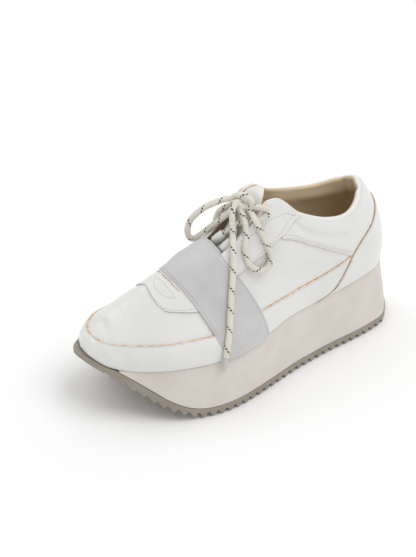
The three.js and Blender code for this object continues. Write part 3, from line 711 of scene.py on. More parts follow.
def lug_corners():
    """The y of each corner of the tread, and how deep it is cut there: land, ramp, valley
    and ramp in turn, each shortened to its own length along the slope."""
    ramp = (LUG_PITCH - LUG_LAND - LUG_VALLEY) / 2
    stretches = ((LUG_LAND, 0), (ramp, LUG_DEPTH), (LUG_VALLEY, LUG_DEPTH), (ramp, 0))
    ys, cuts = [NOSE_START - LUG_LAND / 2], [0.0]
    while ys[-1] < SECTIONS["sole_y"][-1]:
        for length, cut in stretches:
            ys.append(ys[-1] + length / np.hypot(1, slope_at(ys[-1] + length / 2)))
            cuts.append(cut)
    return np.array(ys), np.array(cuts)


# %% [markdown]
# Outsole, platform and insole are solid slabs whose outline changes along the shoe. A box
# could be sculpted into each. Because their outlines and heights are known at every row,
# each is instead a stack of cross-sections, and one function joins any such stack.

# %% Blocks of cross-sections
END_ROWS, END_REACH = 14, 0.5             # extra rows close to each end
HALF_WIDTH = 30.0                         # millimetres, about that of the sole


def stacked_rows(first, step):
    """Rows from first to the heel, closer together where the outline turns at the ends:
    the extra ones are spaced by a square."""
    rows = np.arange(first, HEEL, step)
    near = END_REACH * np.linspace(0, 1, END_ROWS) ** 2
    return np.unique(np.concatenate([rows, first + near, HEEL - near]).round(5))


def block(name, rows, edge, slot, material, sharp=40, ease=0.7):
    """A solid whose cross-section at each row runs from the outer edge's top to its
    bottom, and back up the inner side, with corners eased by a fraction of a millimetre.
    edge(turn) gives the top and the bottom point of the side wall."""
    (top, low), (top_in, low_in) = edge(rows), edge(2 * HEEL - rows)

    def wall(high, base, middle_high, middle_base):
        """One side wall, and a step inwards by about the same ease at both its corners."""
        inward_high = (middle_high - high) * (ease / HALF_WIDTH)
        inward_low = (middle_base - base) * (ease / HALF_WIDTH)
        tall = np.maximum(np.linalg.norm(base - high, axis=-1), 1)[:, None]
        drop = (base - high) / tall * ease
        sides = [high + inward_high, high + drop]
        sides += [high + drop + (base - high - 2 * drop) * f for f in (0.25, 0.5, 0.75)]
        return sides + [base - drop, base + inward_low]

    middle_top, middle_low = (top + top_in) / 2, (low + low_in) / 2
    ring = wall(top, low, middle_top, middle_low)
    ring += wall(top_in, low_in, middle_top, middle_low)[::-1]
    ring = np.stack(ring + ring[:1], 1)
    caps = [np.repeat(r.mean(0)[None, None], ring.shape[1], 1) for r in (ring[0], ring[-1])]
    grid = np.concatenate([caps[0], ring, caps[1]])
    return grid_piece(name, grid, slot, material, sharp=sharp)


LUG_Y, LUG_CUT = lug_corners()


def outsole_edge(turn):
    """Both points follow the sole's outline; the low one drops into the tread's valleys."""
    outline = loop_point("sole_lat", "sole_med", "sole_y", turn)
    y = outline[..., 1]
    low = outline.copy()
    low[..., 2] = rocker(y) + np.interp(y, LUG_Y, LUG_CUT, left=0)
    outline[..., 2] = outsole_top(y)
    return outline, low


lug_rows = row_at("sole_y", LUG_Y[LUG_Y < SECTIONS["sole_y"][-1]])
outsole = block("outsole_tread", np.unique(np.concatenate([stacked_rows(0.0, 0.1), lug_rows])),
                outsole_edge, "outsole_rubber", RUBBER, sharp=28, ease=0.5)
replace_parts(outsole, "outsole")
print("lugs:", len(LUG_Y) // 4)

# %% [markdown]
# The platform is one moulded block of dense foam. Its top follows the feather line, where
# the upper is lasted, and it flares out to the outsole's edge. Ready-made bevels would
# round it all alike, so its walls run straight from one line to the other. The insole is a
# thin board that lies inside the upper.

# %% Platform and insole
GAP, SEATED, PLATFORM_FRONT, PLATFORM_INSET = 0.3, 0.03, 1.5, 0.6
INSOLE, INSOLE_INSET, INSOLE_LIFT = 3.5, 3.6, 0.1


def platform_edge(turn):
    """Top on the feather line, a little below and outside it; bottom on the outsole."""
    row, _ = row_side(turn)
    feather = loop_point("lat", "med", "y", turn, even("z", row) - GAP)
    top = feather + GAP * outward("lat", "med", "y", turn)
    low = loop_point("sole_lat", "sole_med", "sole_y", turn)
    low[..., 2] = outsole_top(low[..., 1]) + SEATED
    return top, low - PLATFORM_INSET * outward("sole_lat", "sole_med", "sole_y", turn)


def insole_edge(turn):
    """The feather line drawn inwards, and the same line one board's thickness higher."""
    row, _ = row_side(turn)
    low = loop_point("lat", "med", "y", turn, even("z", row) + INSOLE_LIFT)
    low = low - INSOLE_INSET * outward("lat", "med", "y", turn)
    return low + np.array([0, 0, INSOLE]), low


platform = block("platform_block", stacked_rows(PLATFORM_FRONT, 0.06), platform_edge,
                 "platform_foam", FOAM)
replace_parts(platform, "platform")
# The insole's colour is partly its own tan and partly painted shade of the deep interior.
insole = block("insole_board", stacked_rows(0.8, 0.1), insole_edge, "tan_lining", INSOLE_CLOTH_AND_SHADE)
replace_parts(insole, "insole")

# %% [markdown]
# Soft leather on a last is never quite smooth. A cloth simulation would wrinkle it all
# over at random, and a noise texture would only darken it. Creases form where the foot
# bends and where the leather is pulled over an edge, so a few are listed, each a
# soft trough or swelling along a line of (row, height) points.

# %% Creases
CREASES = [
    {"from": (2.3, 0.62), "to": (4.3, 0.90), "depth": -0.45, "width": 7.0},
    {"from": (0.32, 0.33), "to": (0.28, 0.05), "depth": 0.75, "width": 2.6},
    {"from": (0.75, 0.30), "to": (0.85, 0.10), "depth": -0.6, "width": 3.2},
    {"from": (1.7, 0.28), "to": (1.9, 0.08), "depth": -0.45, "width": 5.0},
    {"from": (3.6, 0.26), "to": (4.2, 0.10), "depth": 0.5, "width": 8.0},
    {"from": (8.6, 0.55), "to": (9.6, 0.34), "depth": -0.8, "width": 7.0},
    {"from": (10.7, 0.80), "to": (12.4, 0.74), "depth": -1.3, "width": 5.0},
    {"from": (12.9, 0.88), "to": (13.9, 0.82), "depth": -0.9, "width": 4.5},
    {"from": (13.0, 0.36), "to": (14.2, 0.22), "depth": -0.7, "width": 6.0},
    {"from": (8.3, 0.20), "to": (8.8, 0.08), "depth": 0.5, "width": 7.0},
    {"from": (9.8, 0.52), "to": (11.0, 0.44), "depth": 0.5, "width": 8.0},
]
ROW_MM, RIB_MM = 18.0, 85.0               # about how long one row and one rib are


def relief(turn, v):
    """Sum of Gaussian troughs: each falls off with the distance from its own line."""
    row, _ = row_side(turn)
    height = np.zeros(np.broadcast(row, v).shape)
    for crease in CREASES:
        a, b = (np.array(crease[end]) * (ROW_MM, RIB_MM) for end in ("from", "to"))
        x, y = row * ROW_MM - a[0], v * RIB_MM - a[1]
        run = b - a
        f = np.clip((x * run[0] + y * run[1]) / run.dot(run), 0, 1)
        far = np.hypot(x - f * run[0], y - f * run[1])
        height = height + crease["depth"] * np.exp(-(far / crease["width"]) ** 2)
    return height


# %% [markdown]
# The upper is one closed wall: an outer face of leather, a rolled rim along the throat and
# collar, and a lined inner face. A Solidify modifier would give it one even thickness, but
# a real collar is padded and the toe is thin. So both faces are worked out, each from its
# own thickness, and a half circle joins them along the open top.

# %% Upper wall
PER_ROW = 24
TURN_STEP = 1 / PER_ROW
FACETS_OUT, FACETS_IN, FACETS_RIM = 64, 22, 8
LINED_FROM = 0.42 * FACETS_RIM            # the rim is leather up to here, then lining
PAD_SIDE, PAD_HEEL, PAD_V, PAD_SPREAD = 1.5, 1.6, 0.87, 0.1
FOLD_DEPTH, FOLD_ROW, FOLD_SPREAD = 1.7, 14.35, 0.13
TOE_CENTRE, TOE_RADIUS, TOE_ROUNDS = (-13, -114, 67), 15.0, 120


def wall_at(row, v):
    """Thickness of the upper: thin leather that eases into the padded collar."""
    return LEATHER_WALL + (COLLAR_WALL - LEATHER_WALL) * (
        smooth(row, COLLAR, COLLAR + 1.5) * smooth(v, 0.45, 0.85))


def lining_swell(row, v):
    """The padding behind the lining: fullest under the rim, with a fold at the heel."""
    pad = PAD_SIDE * smooth(row, 10.2, 11.6) + PAD_HEEL * smooth(row, 11.8, 13.6)
    fold = FOLD_DEPTH * np.exp(-((row - FOLD_ROW) / FOLD_SPREAD) ** 2)
    return pad * np.exp(-((v - PAD_V) / PAD_SPREAD) ** 2) - fold * smooth(v, 0.5, 0.7)


def relax(piece, centre, radius, rounds):
    """Evens out the vertices inside a ball: each moves half way to its neighbours' mean."""
    work = bmesh.new()
    work.from_mesh(piece.data)
    at = np.zeros(3 * len(piece.data.vertices))
    piece.data.vertices.foreach_get("co", at)
    inside = np.linalg.norm(at.reshape(-1, 3) - place(centre), axis=1) < radius * MM
    work.verts.ensure_lookup_table()
    chosen = [work.verts[i] for i in np.flatnonzero(inside)]
    for _ in range(rounds):
        bmesh.ops.smooth_vert(work, verts=chosen, factor=0.5, use_axis_x=True,
                              use_axis_y=True, use_axis_z=True)
    work.to_mesh(piece.data)
    work.free()


def make_upper():
    """The outer face carries the creases, faded out at both its edges. The rim goes over
    the top by a sine and inwards by one minus a cosine."""
    turns = np.arange(0, 2 * HEEL, TURN_STEP)[:, None]
    row, _ = row_side(turns)
    v_out, v_in = (np.linspace(0, 1, n + 1)[None] for n in (FACETS_OUT, FACETS_IN))
    outer = skin(turns, v_out, relief(turns, v_out) * smooth(v_out, 0, 0.05)
                 * (1 - smooth(v_out, 0.95, 1)))
    inner = skin(turns, v_in, -wall_at(row, v_in) - lining_swell(row, v_in))
    open_top = np.arange(THROAT * PER_ROW, (2 * HEEL - THROAT) * PER_ROW + 1)
    angle = np.linspace(0, np.pi, FACETS_RIM + 1)[None]
    rim_turns, rim_row = turns[open_top], row[open_top]
    half = (wall_at(rim_row, 1.0) + lining_swell(rim_row, 1.0)) / 2
    reach = 3 * even("reach", rim_row)
    rim = skin(rim_turns, 1 + half * np.sin(angle) / reach, -half * (1 - np.cos(angle)))
    rim[:, 0], rim[:, -1] = outer[open_top, -1], inner[open_top, -1]
    foot = np.stack([outer[:, 0], inner[:, 0]], 1)
    grids = [(outer, True, 0), (inner, True, 1), (rim, False, 0), (foot, True, 0)]
    points, faces, which, start = [], [], [], 0
    for grid, closed, material in grids:
        quads = grid_faces(*grid.shape[:2], closed=closed, start=start)
        column = (quads[:, 0] - start) % grid.shape[1]
        lined = (grid is rim) & (column >= LINED_FROM)
        points.append(grid.reshape(-1, 3))
        faces.append(quads)
        which.append(np.where(lined, 1, material))
        start += grid.shape[0] * grid.shape[1]
    piece = make_piece("upper_leather", np.vstack(points), np.vstack(faces), "white_leather",
                       LEATHER, LINING, which=np.concatenate(which))
    relax(piece, TOE_CENTRE, TOE_RADIUS, TOE_ROUNDS)
    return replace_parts(piece, "upper")


upper = make_upper()
print("upper faces:", len(upper.data.polygons))

# %% [markdown]
# A panel is a piece of leather sewn flat on the upper, as the rand, the counter and the
# eyestays are. It could be cut from a flat sheet and shrink-wrapped, which blurs its edge.
# Here it is a region of the upper between a lower and an upper edge, both given as heights
# up the ribs. Some edges are left raw, and there the thin wall round the panel shows the
# tan of the leather's core. Where an edge is folded, that wall is painted grey-beige as
# the shade line along the fold.

# %% Panels
LIP = 0.65                                # width of the eased edge of a panel
ROOT, BEVEL, BEVEL_OUT = 0.5, 0.3, 0.05   # how far its wall goes in, and its corner's cuts
LEAN_FROM = 0.68                          # how high up the ribs a leaning front starts


def edge_height(table, row):
    """Height up the rib at a row, from a table of (row, height) joined by a Hermite cubic
    whose slope at each entry is that of the parabola through it and its neighbours."""
    rows, heights = np.array(table, float).T
    slopes = np.gradient(heights, rows)
    k = np.clip(np.searchsorted(rows, row) - 1, 0, len(rows) - 2)
    span = rows[k + 1] - rows[k]
    f = np.clip((row - rows[k]) / span, 0, 1)
    return (heights[k] * (1 + 2 * f) * (1 - f) ** 2 + slopes[k] * span * f * (1 - f) ** 2
            + heights[k + 1] * f ** 2 * (3 - 2 * f) - slopes[k + 1] * span * f ** 2 * (1 - f))


def make_panel(name, turns, low, high, thickness, raw_or_shaded_low=True, raw_high=False, base=0.0,
               columns=26, swell=0.0, cut=None, lean=0.0, strip=1):
    """A slab on the upper between two edges: up its low edge, over, and down again. Its
    edge wall shows the tan core of the leather, or the colour given as cut, such as a darker
    brown core on the counter and a painted shade on folded edges; strip is how far that
    reaches over the upper lip, and lean draws the front edge back by that many rows."""
    turns = np.asarray(turns, float)[:, None]
    low, high = (np.broadcast_to(np.asarray(x, float), turns.shape[0])[:, None]
                 for x in (low, high))
    rib_length = np.linalg.norm(rib(turns, 1.0) - rib(turns, 0.0), axis=-1)
    lip = np.minimum(LIP / rib_length, (high - low) / 4)
    across = np.linspace(0, 1, columns)[None]
    v = np.concatenate([low, low, low + lip, low + lip + (high - low - 2 * lip) * across,
                        high - lip, high, high], 1)
    full = base + thickness
    inner = full + relief(turns, v[:, 3:-3]) + swell * np.sin(np.pi * across) ** 0.5
    root, corner = ((x * np.ones_like(turns)) for x in (base - ROOT, full - BEVEL))
    out = np.concatenate([root, corner, full - BEVEL_OUT + relief(turns, v[:, 2:3]), inner,
                          full - BEVEL_OUT + relief(turns, v[:, -3:-2]), corner, root], 1)
    turns, v, out = (np.vstack([x[:1], x, x[-1:]]) for x in (turns, v, out))
    out[0] = out[-1] = base - ROOT
    if lean:
        behind = abs(turns - turns[0 if turns[0] < HEEL else -1]) / abs(turns[0] - turns[-1])
        back = lean * (1 - behind) * smooth(v, LEAN_FROM, 1.0)
        turns = turns + np.where(turns < HEEL, back, -back)
    grid = skin(turns, v, out)
    faces = grid_faces(*grid.shape[:2])
    column = faces[:, 0] % grid.shape[1]
    line = faces[:, 0] // grid.shape[1]
    last = grid.shape[1] - 2
    # The edge walls take the cut colour: the raw tan core, or painted shade where the edge is
    # folded.
    raw_and_shaded_edge = (column <= 2) & raw_or_shaded_low | (column >= last - strip) & raw_high
    if raw_or_shaded_low:
        raw_and_shaded_edge |= (line == 0) | (line == grid.shape[0] - 2)
    return make_piece(name, grid.reshape(-1, 3), faces, "white_leather", LEATHER,
                      cut or RAW_EDGE, which=raw_and_shaded_edge.astype(int), outside=False, sharp=50,
                      weld=False)


def turns_between(first, last):
    """Turns from first to last, about one step of the upper apart."""
    return np.linspace(first, last, max(3, int(round((last - first) / TURN_STEP))))


def both_sides(rows):
    """The same stretch of rows on the outer and on the inner side, as turns."""
    return {"lateral": rows, "medial": 2 * HEEL - rows[::-1]}


TOE_RAND = [(0, 0.478), (0.6, 0.466), (1.4, 0.455), (2.33, 0.416), (3.12, 0.373),
            (3.87, 0.342), (4.54, 0.322), (5.0, 0.309), (5.45, 0.296), (6.2, 0.285)]
REAR_RAND = [(7.4, 0.313), (7.85, 0.303), (8.4, 0.281), (9.0, 0.253), (9.6, 0.238),
             (10.1, 0.243), (10.66, 0.268), (11.37, 0.312), (11.93, 0.348), (12.45, 0.392),
             (12.8, 0.42), (13.2, 0.44)]
COUNTER = [(10.4, 0.0), (10.89, 0.008), (11.17, 0.026), (11.46, 0.064), (11.73, 0.128),
           (12.02, 0.21), (12.32, 0.307), (12.62, 0.414), (12.96, 0.51), (13.31, 0.582),
           (13.67, 0.635), (14.07, 0.668), (14.37, 0.683), (14.63, 0.7), (15, 0.725)]
COLLAR_LOW = [(9.75, 0.642), (10.2, 0.62), (10.65, 0.628), (11.2, 0.624), (11.7, 0.567),
              (12.2, 0.478), (12.6, 0.385), (13.2, 0.33), (15, 0.33)]
EYESTAY = [(7.4, 0.698), (8.2, 0.698), (8.77, 0.691), (9.24, 0.678), (9.53, 0.668),
           (9.76, 0.671), (10.0, 0.697), (10.4, 0.79), (10.7, 0.895), (10.93, 0.985)]
APRON = [(4.69, 0.72), (4.71, 0.665), (4.78, 0.626), (4.95, 0.596), (5.18, 0.566),
         (5.44, 0.532), (5.73, 0.507), (6.2, 0.48)]
RAND_THICK, COUNTER_THICK, PANEL_THICK, EYESTAY_BASE = 1.25, 1.5, 0.9, 0.8
COUNTER_LIFT, COLLAR_TOP, EYESTAY_TOP = 0.004, 0.985, 0.995


def edge_round(table, turns):
    """The height of a panel's edge at turns on either side of the shoe."""
    return edge_height(table, row_side(turns)[0])


turns = turns_between(-6.0, 6.0)
rand = make_panel("toe_rand_leather", turns, 0.0, edge_round(TOE_RAND, turns), RAND_THICK,
                  raw_or_shaded_low=False, raw_high=True, swell=0.5)
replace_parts(rand, "toe_rand")
turns = turns_between(10.4, 19.6)
counter = make_panel("heel_counter_leather", turns, 0.0,
                     edge_round(COUNTER, turns) + COUNTER_LIFT, COUNTER_THICK, raw_or_shaded_low=False,
                     raw_high=True, columns=40, cut=COUNTER_EDGE, strip=2)
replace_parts(counter, "heel_counter")
turns = turns_between(9.75, 20.25)
panels = [rand, counter, make_panel("collar_panel", turns, edge_round(COLLAR_LOW, turns),
                                    COLLAR_TOP, PANEL_THICK, columns=34)]
for side, turns in both_sides(turns_between(7.4, 13.2)).items():
    panels.append(make_panel(f"rear_rand_{side}", turns, 0.0, edge_round(REAR_RAND, turns),
                             PANEL_THICK, raw_or_shaded_low=False, raw_high=True))
# The eyestays are folded at their low edge, and that edge wall is painted grey-beige as shade.
for side, turns in both_sides(turns_between(7.6, 10.93)).items():
    panels.append(make_panel(f"eyestay_{side}", turns, edge_round(EYESTAY, turns), EYESTAY_TOP,
                             PANEL_THICK, base=EYESTAY_BASE, columns=20, cut=FOLD_PAINTED_SHADE))
# The apron tabs are folded at their low edge, and that edge wall is painted grey-beige as shade.
for side, turns in both_sides(turns_between(4.69, 6.2)).items():
    panels.append(make_panel(f"apron_tab_{side}", turns, edge_round(APRON, turns), 1.0,
                             PANEL_THICK, columns=30, cut=FOLD_PAINTED_SHADE, lean=0.34))
print("panels:", len(panels))

# %% [markdown]
# The elastic band is stretched over the instep from feather line to feather line, and the
# tongue lies under it. Cloth left to settle would sag where the real band is tight, so both
# are worked out: a line over the shoe is two ribs of the upper joined by an arch across the
# throat, and it is carried from the front edge of the band or tongue to its rear edge.

# %% Band and tongue


def girth(row, out, crown=1.0, up=48, over=20):
    """Up the outer rib, over the throat on a cubic Bezier that goes on along both ribs,
    and down the inner rib. row(v) may change with the height."""
    v = np.linspace(0, 1, up + 1)[None]
    rows = row(v)
    outer = skin(rows, v, out)
    inner = skin(2 * HEEL - rows, v, out)
    a, d = outer[:, -1], inner[:, -1]
    reach = crown * np.linalg.norm(a - d, axis=-1, keepdims=True) / 3

    def onward(p, q):
        """A handle of the arch: on from p, in the direction from q to p."""
        run = p - q
        return p + run / np.maximum(np.linalg.norm(run, axis=-1, keepdims=True), 1e-6) * reach

    b, c = onward(a, outer[:, -2]), onward(d, inner[:, -2])
    f = np.linspace(0, 1, over + 1)[1:-1, None]
    arch = [(1 - f) ** 3 * a[k] + 3 * f * (1 - f) ** 2 * b[k] + 3 * f ** 2 * (1 - f) * c[k]
            + f ** 3 * d[k] for k in range(len(a))]
    return np.concatenate([outer, np.array(arch), inner[:, ::-1]], 1)


BAND_FRONT, BAND_REAR, BAND_WIDTH = (5.5, 0.45), (7.75, 0.3), 38.0
BAND_TOP, BAND_UNDER, BAND_LINES = 2.0, 0.9, 60
SELVAGE, SELVAGE_WIDTH, GROOVE_DEPTH = 1.3, 0.45, 0.6
BAND_FULL, BAND_ROOT, BAND_BEVEL = 0.2, 0.7, 0.15
WAVE_DEPTH, WAVE_TURN = 0.12, 0.42        # millimetres, and radians to a millimetre


def make_band():
    """Grid from front edge to rear edge, with a shallow wave across it. Beside each edge is
    a groove, a Gaussian of the distance from it, that sets off the woven selvage."""
    f = np.concatenate([[0, 0], np.linspace(0, 1, BAND_LINES), [1, 1]])[:, None]
    mm = f * BAND_WIDTH
    groove = sum(np.exp(-((x - SELVAGE) / SELVAGE_WIDTH) ** 2) for x in (mm, BAND_WIDTH - mm))
    wave = WAVE_DEPTH * np.sin(mm * WAVE_TURN + 1)
    out = BAND_TOP + BAND_FULL - GROOVE_DEPTH * groove + wave
    out[[0, -1]] = BAND_UNDER - BAND_ROOT
    out[[1, -2]] = BAND_TOP - BAND_BEVEL

    def row(v):
        """The row at each point of the band: its edges move back as they rise."""
        front = BAND_FRONT[0] + BAND_FRONT[1] * smooth(v, 0.1, 0.8)
        rear = BAND_REAR[0] + BAND_REAR[1] * smooth(v, 0, 0.7)
        return front + (rear - front) * f

    grid = girth(row, out, up=64, over=28)
    along = np.cumsum(np.linalg.norm(np.diff(grid, axis=1, prepend=grid[:, :1]), axis=-1), 1)
    uv = np.stack(np.broadcast_arrays(mm, along), -1).reshape(-1, 2)
    piece = grid_piece("elastic_band_woven", grid, "elastic", ELASTIC, uv=uv, outside=False,
                       sharp=60, weld=False)
    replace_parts(piece, "elastic_band")


TONGUE_ROWS = np.array([
    # row, half width outwards and inwards, depth under the upper's face, fullness of arch
    (6.25, 17, 17, 6.0, 0.3), (7.0, 22, 22, 8.0, 0.3), (8.0, 25, 25, 8.8, 0.3),
    (8.6, 26, 26, 7.6, 0.4), (8.95, 24, 25, 5.4, 0.66), (9.25, 17.5, 23, 4.0, 0.8),
    (9.5, 12, 20, 2.9, 0.9), (9.8, 6.5, 14, 2.9, 1.0), (10.0, 0.6, 5, 2.9, 1.0)])
TONGUE_THICK, TONGUE_LINES, TONGUE_POINTS = 2.4, 80, 41


def make_tongue():
    """Each line across is the girth at its row, cut to the tongue's half width."""
    f = np.linspace(0, len(TONGUE_ROWS) - 1, TONGUE_LINES)
    row, out_half, in_half, depth, crown = (np.interp(f, np.arange(len(TONGUE_ROWS)), c)
                                            for c in TONGUE_ROWS.T)
    across = np.sin(np.linspace(-1, 1, TONGUE_POINTS) * np.pi / 2)

    def face(down):
        """The tongue's face at some depth, line by line."""
        lines = []
        for r, ho, hi, d, c in zip(row, out_half, in_half, depth + down, crown):
            line = girth(lambda v: np.full((1, v.shape[1]), r), -d, c)[0]
            walked = path_length(line)
            at = walked[-1] / 2 + across * np.where(across < 0, ho, hi)
            lines.append(np.stack([np.interp(at, walked, x) for x in line.T], -1))
        return np.array(lines)

    top, under = face(0.0), face(TONGUE_THICK)
    loop = np.concatenate([top, under[:, ::-1], top[:, :1]], 1)
    caps = [np.repeat(g.mean(0)[None, None], loop.shape[1], 1) for g in (loop[0], loop[-1])]
    grid = np.concatenate([caps[0], loop, caps[1]])
    faces = grid_faces(*grid.shape[:2])
    column, end = faces[:, 0] % grid.shape[1], across.size - 1
    side = (column == end) | (column == 2 * end + 1)
    which = np.where(column < end, 0, np.where(side, 2, 1))
    piece = make_piece("tongue_leather", grid.reshape(-1, 3), faces, "white_leather", LEATHER,
                       LINING, RAW_EDGE, which=which, sharp=45)
    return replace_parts(piece, "tongue")


make_band()
make_tongue()

# %% [markdown]
# Two laced strands come out from under the band, each through a rolled leather sleeve, and
# cross below the knot. The strands are tubes like the rest of the lace. A sleeve could be a
# bevelled pipe, but a ring turned round the lace has rounded lips from the start.

# %% Crossings and sleeves
CROSSINGS = {
    "lateral": [(5.4, -38, 102.2), (6.2, -27, 108.8), (7.8, -19.6, 114.8), (4, -14, 121.6),
                (-8.5, -9, 128.2)],
    "medial": [(-7, -38, 102.6), (-5.6, -25.8, 109.9), (-2.4, -19.4, 116.2), (3, -13, 123.6),
               (9.1, -8.2, 128.8)],
}
SLEEVE_IN, SLEEVE_OUT, SLEEVE_LIP, SLEEVE_FACETS = 2.6, 3.5, 0.25, 28


def make_sleeve(side):
    """A ring of revolution: out along its face, round both lips and back inside."""
    start, end = (np.array(CROSSINGS[side][k]) for k in (1, 2))
    path = start + (end - start) * np.array([0, 0, 0.04, 0.5, 0.96, 1, 1, 0.5, 0])[:, None]
    lip = SLEEVE_OUT - SLEEVE_LIP
    radius = np.array([SLEEVE_IN, lip, SLEEVE_OUT, SLEEVE_OUT + 0.1, SLEEVE_OUT, lip,
                       SLEEVE_IN, SLEEVE_IN, SLEEVE_IN])
    run = (end - start) / np.linalg.norm(end - start)
    across = np.cross(run, ASLANT)
    across /= np.linalg.norm(across)
    turn = np.linspace(0, TAU, SLEEVE_FACETS + 1)
    circle = across * np.cos(turn)[:, None] + np.cross(run, across) * np.sin(turn)[:, None]
    grid = path[:, None] + radius[:, None, None] * circle[None]
    piece = grid_piece(f"lace_sleeve_{side}_leather", grid, "white_leather", LEATHER, sharp=40)
    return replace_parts(piece, f"lace_sleeve_{side}")


lace_strands("lace_crossings_rope", "lace_crossings", CROSSINGS)
for side in CROSSINGS:
    make_sleeve(side)

# %% [markdown]
# Stitches are short lengths of thread that dip into the leather between them. A dashed
# texture would look flat, and a curve for each would be heavy, so a stitch is a small
# spindle of a few faces, repeated at even steps along a line on the upper. All the rows of
# one colour are one piece, so that hundreds of stitches stay light.

# %% Stitches
SPINDLE_RINGS = np.array([(-1.0, 0.0), (-0.75, 0.85), (0.0, 1.0), (0.75, 0.85), (1.0, 0.0)])
SPINDLE_SIDES = 6
LINE_STEP, EDGE_STEP = 0.6, 0.3           # millimetres, and rows
# pitch, length and radius of a stitch, in millimetres
PLAIN_STITCH, COUNTER_STITCH, FRAY = (2.1, 1.4, 0.19), (1.9, 1.1, 0.3), (2.1, 1.7, 0.26)


def stitch_row(line, out, pitch, length, radius):
    """Spindles at even steps along a line of (turn, height) points on the upper. Each is a
    few circles in a row, widest in the middle and closed to a point at both ends."""
    scale = (ROW_MM, RIB_MM)
    path = smooth_path(np.array(line, float) * scale, LINE_STEP) / scale
    turn, v = path.T
    at = skin(turn, v, out + relief(turn, v))
    walked = path_length(at)
    centres = np.arange(pitch / 2, walked[-1], pitch)
    middle = np.stack([np.interp(centres, walked, c) for c in at.T], -1)
    run = np.stack([np.interp(centres, walked, c) for c in np.gradient(at, axis=0).T], -1)
    run /= np.linalg.norm(run, axis=1, keepdims=True)
    square = rib_normal(np.interp(centres, walked, turn), np.interp(centres, walked, v))
    side = np.cross(run, square)
    side /= np.linalg.norm(side, axis=1, keepdims=True)
    angle = np.linspace(0, TAU, SPINDLE_SIDES + 1)[None, None, :, None]
    along, thick = SPINDLE_RINGS.T[:, None, :, None, None]
    middle, run, side, rise = (x[:, None, None] for x in (middle, run, side, np.cross(run, side)))
    ring = side * np.cos(angle) + rise * np.sin(angle)
    return middle + run * (along * length / 2) + ring * (thick * radius)


def make_stitches(name, slot, material, rows, stitch):
    """All the spindles of several rows as one piece; a row is a line and how far out it is."""
    grids = np.concatenate([stitch_row(line, out, *stitch) for line, out in rows])
    one = grid_faces(*grids.shape[1:3])
    per = grids.shape[1] * grids.shape[2]
    faces = (one[None] + per * np.arange(len(grids))[:, None, None]).reshape(-1, 4)
    make_piece(name, grids.reshape(-1, 3), faces, slot, material, outside=False, weld=False)
    print(name, len(grids), "stitches")


def along_edge(table, first, last, shift, shift_end=None):
    """A line that keeps a small distance from a panel's edge, or goes from one to another."""
    rows = np.linspace(first, last, int((last - first) / EDGE_STEP) + 2)
    gap = np.linspace(shift, shift if shift_end is None else shift_end, len(rows))
    return np.stack([rows, edge_height(table, rows) + gap], -1)


def mirrored(line):
    """The same line on the other side of the shoe: each turn counted back from the toe."""
    line = np.array(line, float)
    return np.stack([2 * HEEL - line[:, 0], line[:, 1]], -1)


def on_both(line, out):
    """A row of stitches on each side of the shoe."""
    return [(line, out), (mirrored(line), out)]


HALF_MOON = [(5.6, 0.985), (5.38, 0.97), (5.22, 0.891), (5.18, 0.807), (5.23, 0.755),
             (5.32, 0.716), (5.47, 0.69)]
MOON_CHORD = [(5.6, 0.985), (5.61, 0.894), (5.57, 0.793), (5.48, 0.7)]
APRON_STITCH = [(5.02, 0.99), (4.92, 0.92), (4.83, 0.855), (4.79, 0.755), (4.78, 0.69),
                (4.85, 0.645), (5.05, 0.61), (5.45, 0.562), (5.81, 0.534)]
EYESTAY_STITCH = [(8.0, 0.724), (8.77, 0.717), (9.24, 0.706), (9.53, 0.697), (9.72, 0.702),
                  (9.93, 0.732), (10.3, 0.82), (10.68, 0.955)]
EAR_STITCH = [(10.7, 0.94), (10.5, 0.9), (10.05, 0.85), (9.75, 0.838), (9.5, 0.852),
              (9.17, 0.893), (8.7, 0.95)]
FRAYED = [(5.84, 0.985), (5.85, 0.87), (5.82, 0.79), (5.82, 0.72)]
EYESTAY_OUT, RAND_OUT, FRAY_OUT = PANEL_THICK + EYESTAY_BASE, RAND_THICK + 0.2, 0.95
rand_line = along_edge(TOE_RAND, 0, 5.6, -0.034, -0.014)
white_rows = [(np.vstack([mirrored(rand_line)[:0:-1] - (2 * HEEL, 0), rand_line]), RAND_OUT)]
for line, out in ((along_edge(REAR_RAND, 7.9, 12.3, -0.02), PANEL_THICK),
                  (along_edge(COLLAR_LOW, 9.9, 12.5, 0.016, 0.045), PANEL_THICK),
                  (along_edge(COLLAR_LOW, 9.95, 12.55, 0.042, 0.075), PANEL_THICK),
                  (EYESTAY_STITCH, EYESTAY_OUT), (EAR_STITCH, EYESTAY_OUT),
                  (APRON_STITCH, PANEL_THICK)):
    white_rows += on_both(line, out)
white_rows += [(HALF_MOON, PANEL_THICK), (MOON_CHORD, PANEL_THICK)]
white_rows += on_both(along_edge(COUNTER, 11.5, 14.9, -0.036), COUNTER_THICK)
make_stitches("stitches_white", "thread", THREAD, white_rows, PLAIN_STITCH)
counter_line = along_edge(COUNTER, 11.3, 14.95, -0.006)
make_stitches("stitches_counter", "thread", BROWN_THREAD, on_both(counter_line, COUNTER_THICK),
              COUNTER_STITCH)
for end, shift in (("rear", 0.0), ("front", -0.035)):
    frayed = [(row + shift, v) for row, v in FRAYED]
    make_stitches(f"frayed_edge_{end}", "raw_edge", RAW_EDGE, on_both(frayed, FRAY_OUT), FRAY)

# %% [markdown]
# A pale floor and large soft lamps give the even light of a plain studio. One hard lamp
# would burn out the white leather, and the sky alone would leave no shading, so three
# square lamps stand round the shoe: a strong one behind its outer side, a weaker one in
# front of its inner side, and a faint one that draws the rim. The world adds the rest, and
# the plain Standard view shows every colour as it is, with no film-like curve.

# %% Floor and light
FLOOR_HALF, FLOOR_DROP = 4.0, 0.0002      # metres
LAMP_AIM = Vector((0, 0, 0.06))
WORLD_STRENGTH = 0.62
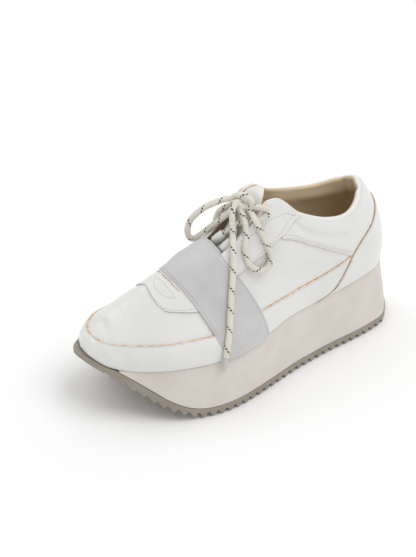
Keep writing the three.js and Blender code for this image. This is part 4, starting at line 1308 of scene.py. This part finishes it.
# name, azimuth and height in degrees, distance and size in metres, power in watts
LAMPS = (("key", 125, 66, 2.6, 1.7, 25), ("fill", -55, 52, 2.6, 1.8, 10),
         ("rim", 230, 50, 2.4, 1.8, 4))


def make_floor():
    """A wide square just under the lug tips."""
    floor = finish_material("studio_floor", (0.97, 0.97, 0.97), (0.96, 0.96, 0.96), 0.9,
                            drift=2, grain=50, depth=0.00001)
    mesh = bpy.data.meshes.new("floor")
    corners = np.array([(-1, -1, 0), (1, -1, 0), (1, 1, 0), (-1, 1, 0)]) * FLOOR_HALF
    corners[:, 2] = -FLOOR_DROP
    mesh.from_pydata(corners.tolist(), [], [(0, 1, 2, 3)])
    mesh.materials.append(floor)
    plane = bpy.data.objects.new("floor", mesh)
    bpy.context.scene.collection.objects.link(plane)
    plane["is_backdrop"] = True


def make_lamp(name, azimuth, height, distance, size, power):
    """A square soft lamp on a sphere round the shoe, facing it."""
    a, e = np.radians([azimuth, height])
    at = np.array([np.sin(a) * np.cos(e), -np.cos(a) * np.cos(e), np.sin(e)]) * distance
    lamp = bpy.data.objects.new(name, bpy.data.lights.new(name, "AREA"))
    lamp.data.size, lamp.data.energy = size, power
    lamp.location = at
    lamp.rotation_euler = (LAMP_AIM - Vector(at)).to_track_quat("-Z", "Y").to_euler()
    bpy.context.scene.collection.objects.link(lamp)


make_floor()
for lamp in LAMPS:
    make_lamp(*lamp)
world = bpy.data.worlds.new("studio")
world.use_nodes = True
sky = world.node_tree.nodes["Background"].inputs
sky["Color"].default_value, sky["Strength"].default_value = (1, 1, 1, 1), WORLD_STRENGTH
bpy.context.scene.world = world
bpy.context.scene.view_settings.view_transform = "Standard"
print("lamps:", [lamp[0] for lamp in LAMPS])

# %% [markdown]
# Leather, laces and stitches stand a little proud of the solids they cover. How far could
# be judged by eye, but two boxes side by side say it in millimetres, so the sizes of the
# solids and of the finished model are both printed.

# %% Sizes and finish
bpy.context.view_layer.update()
for label, (low, high) in (("solids", cad_box), ("finished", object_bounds())):
    print(label, [round(x * 1000, 1) for x in low], [round(x * 1000, 1) for x in high])
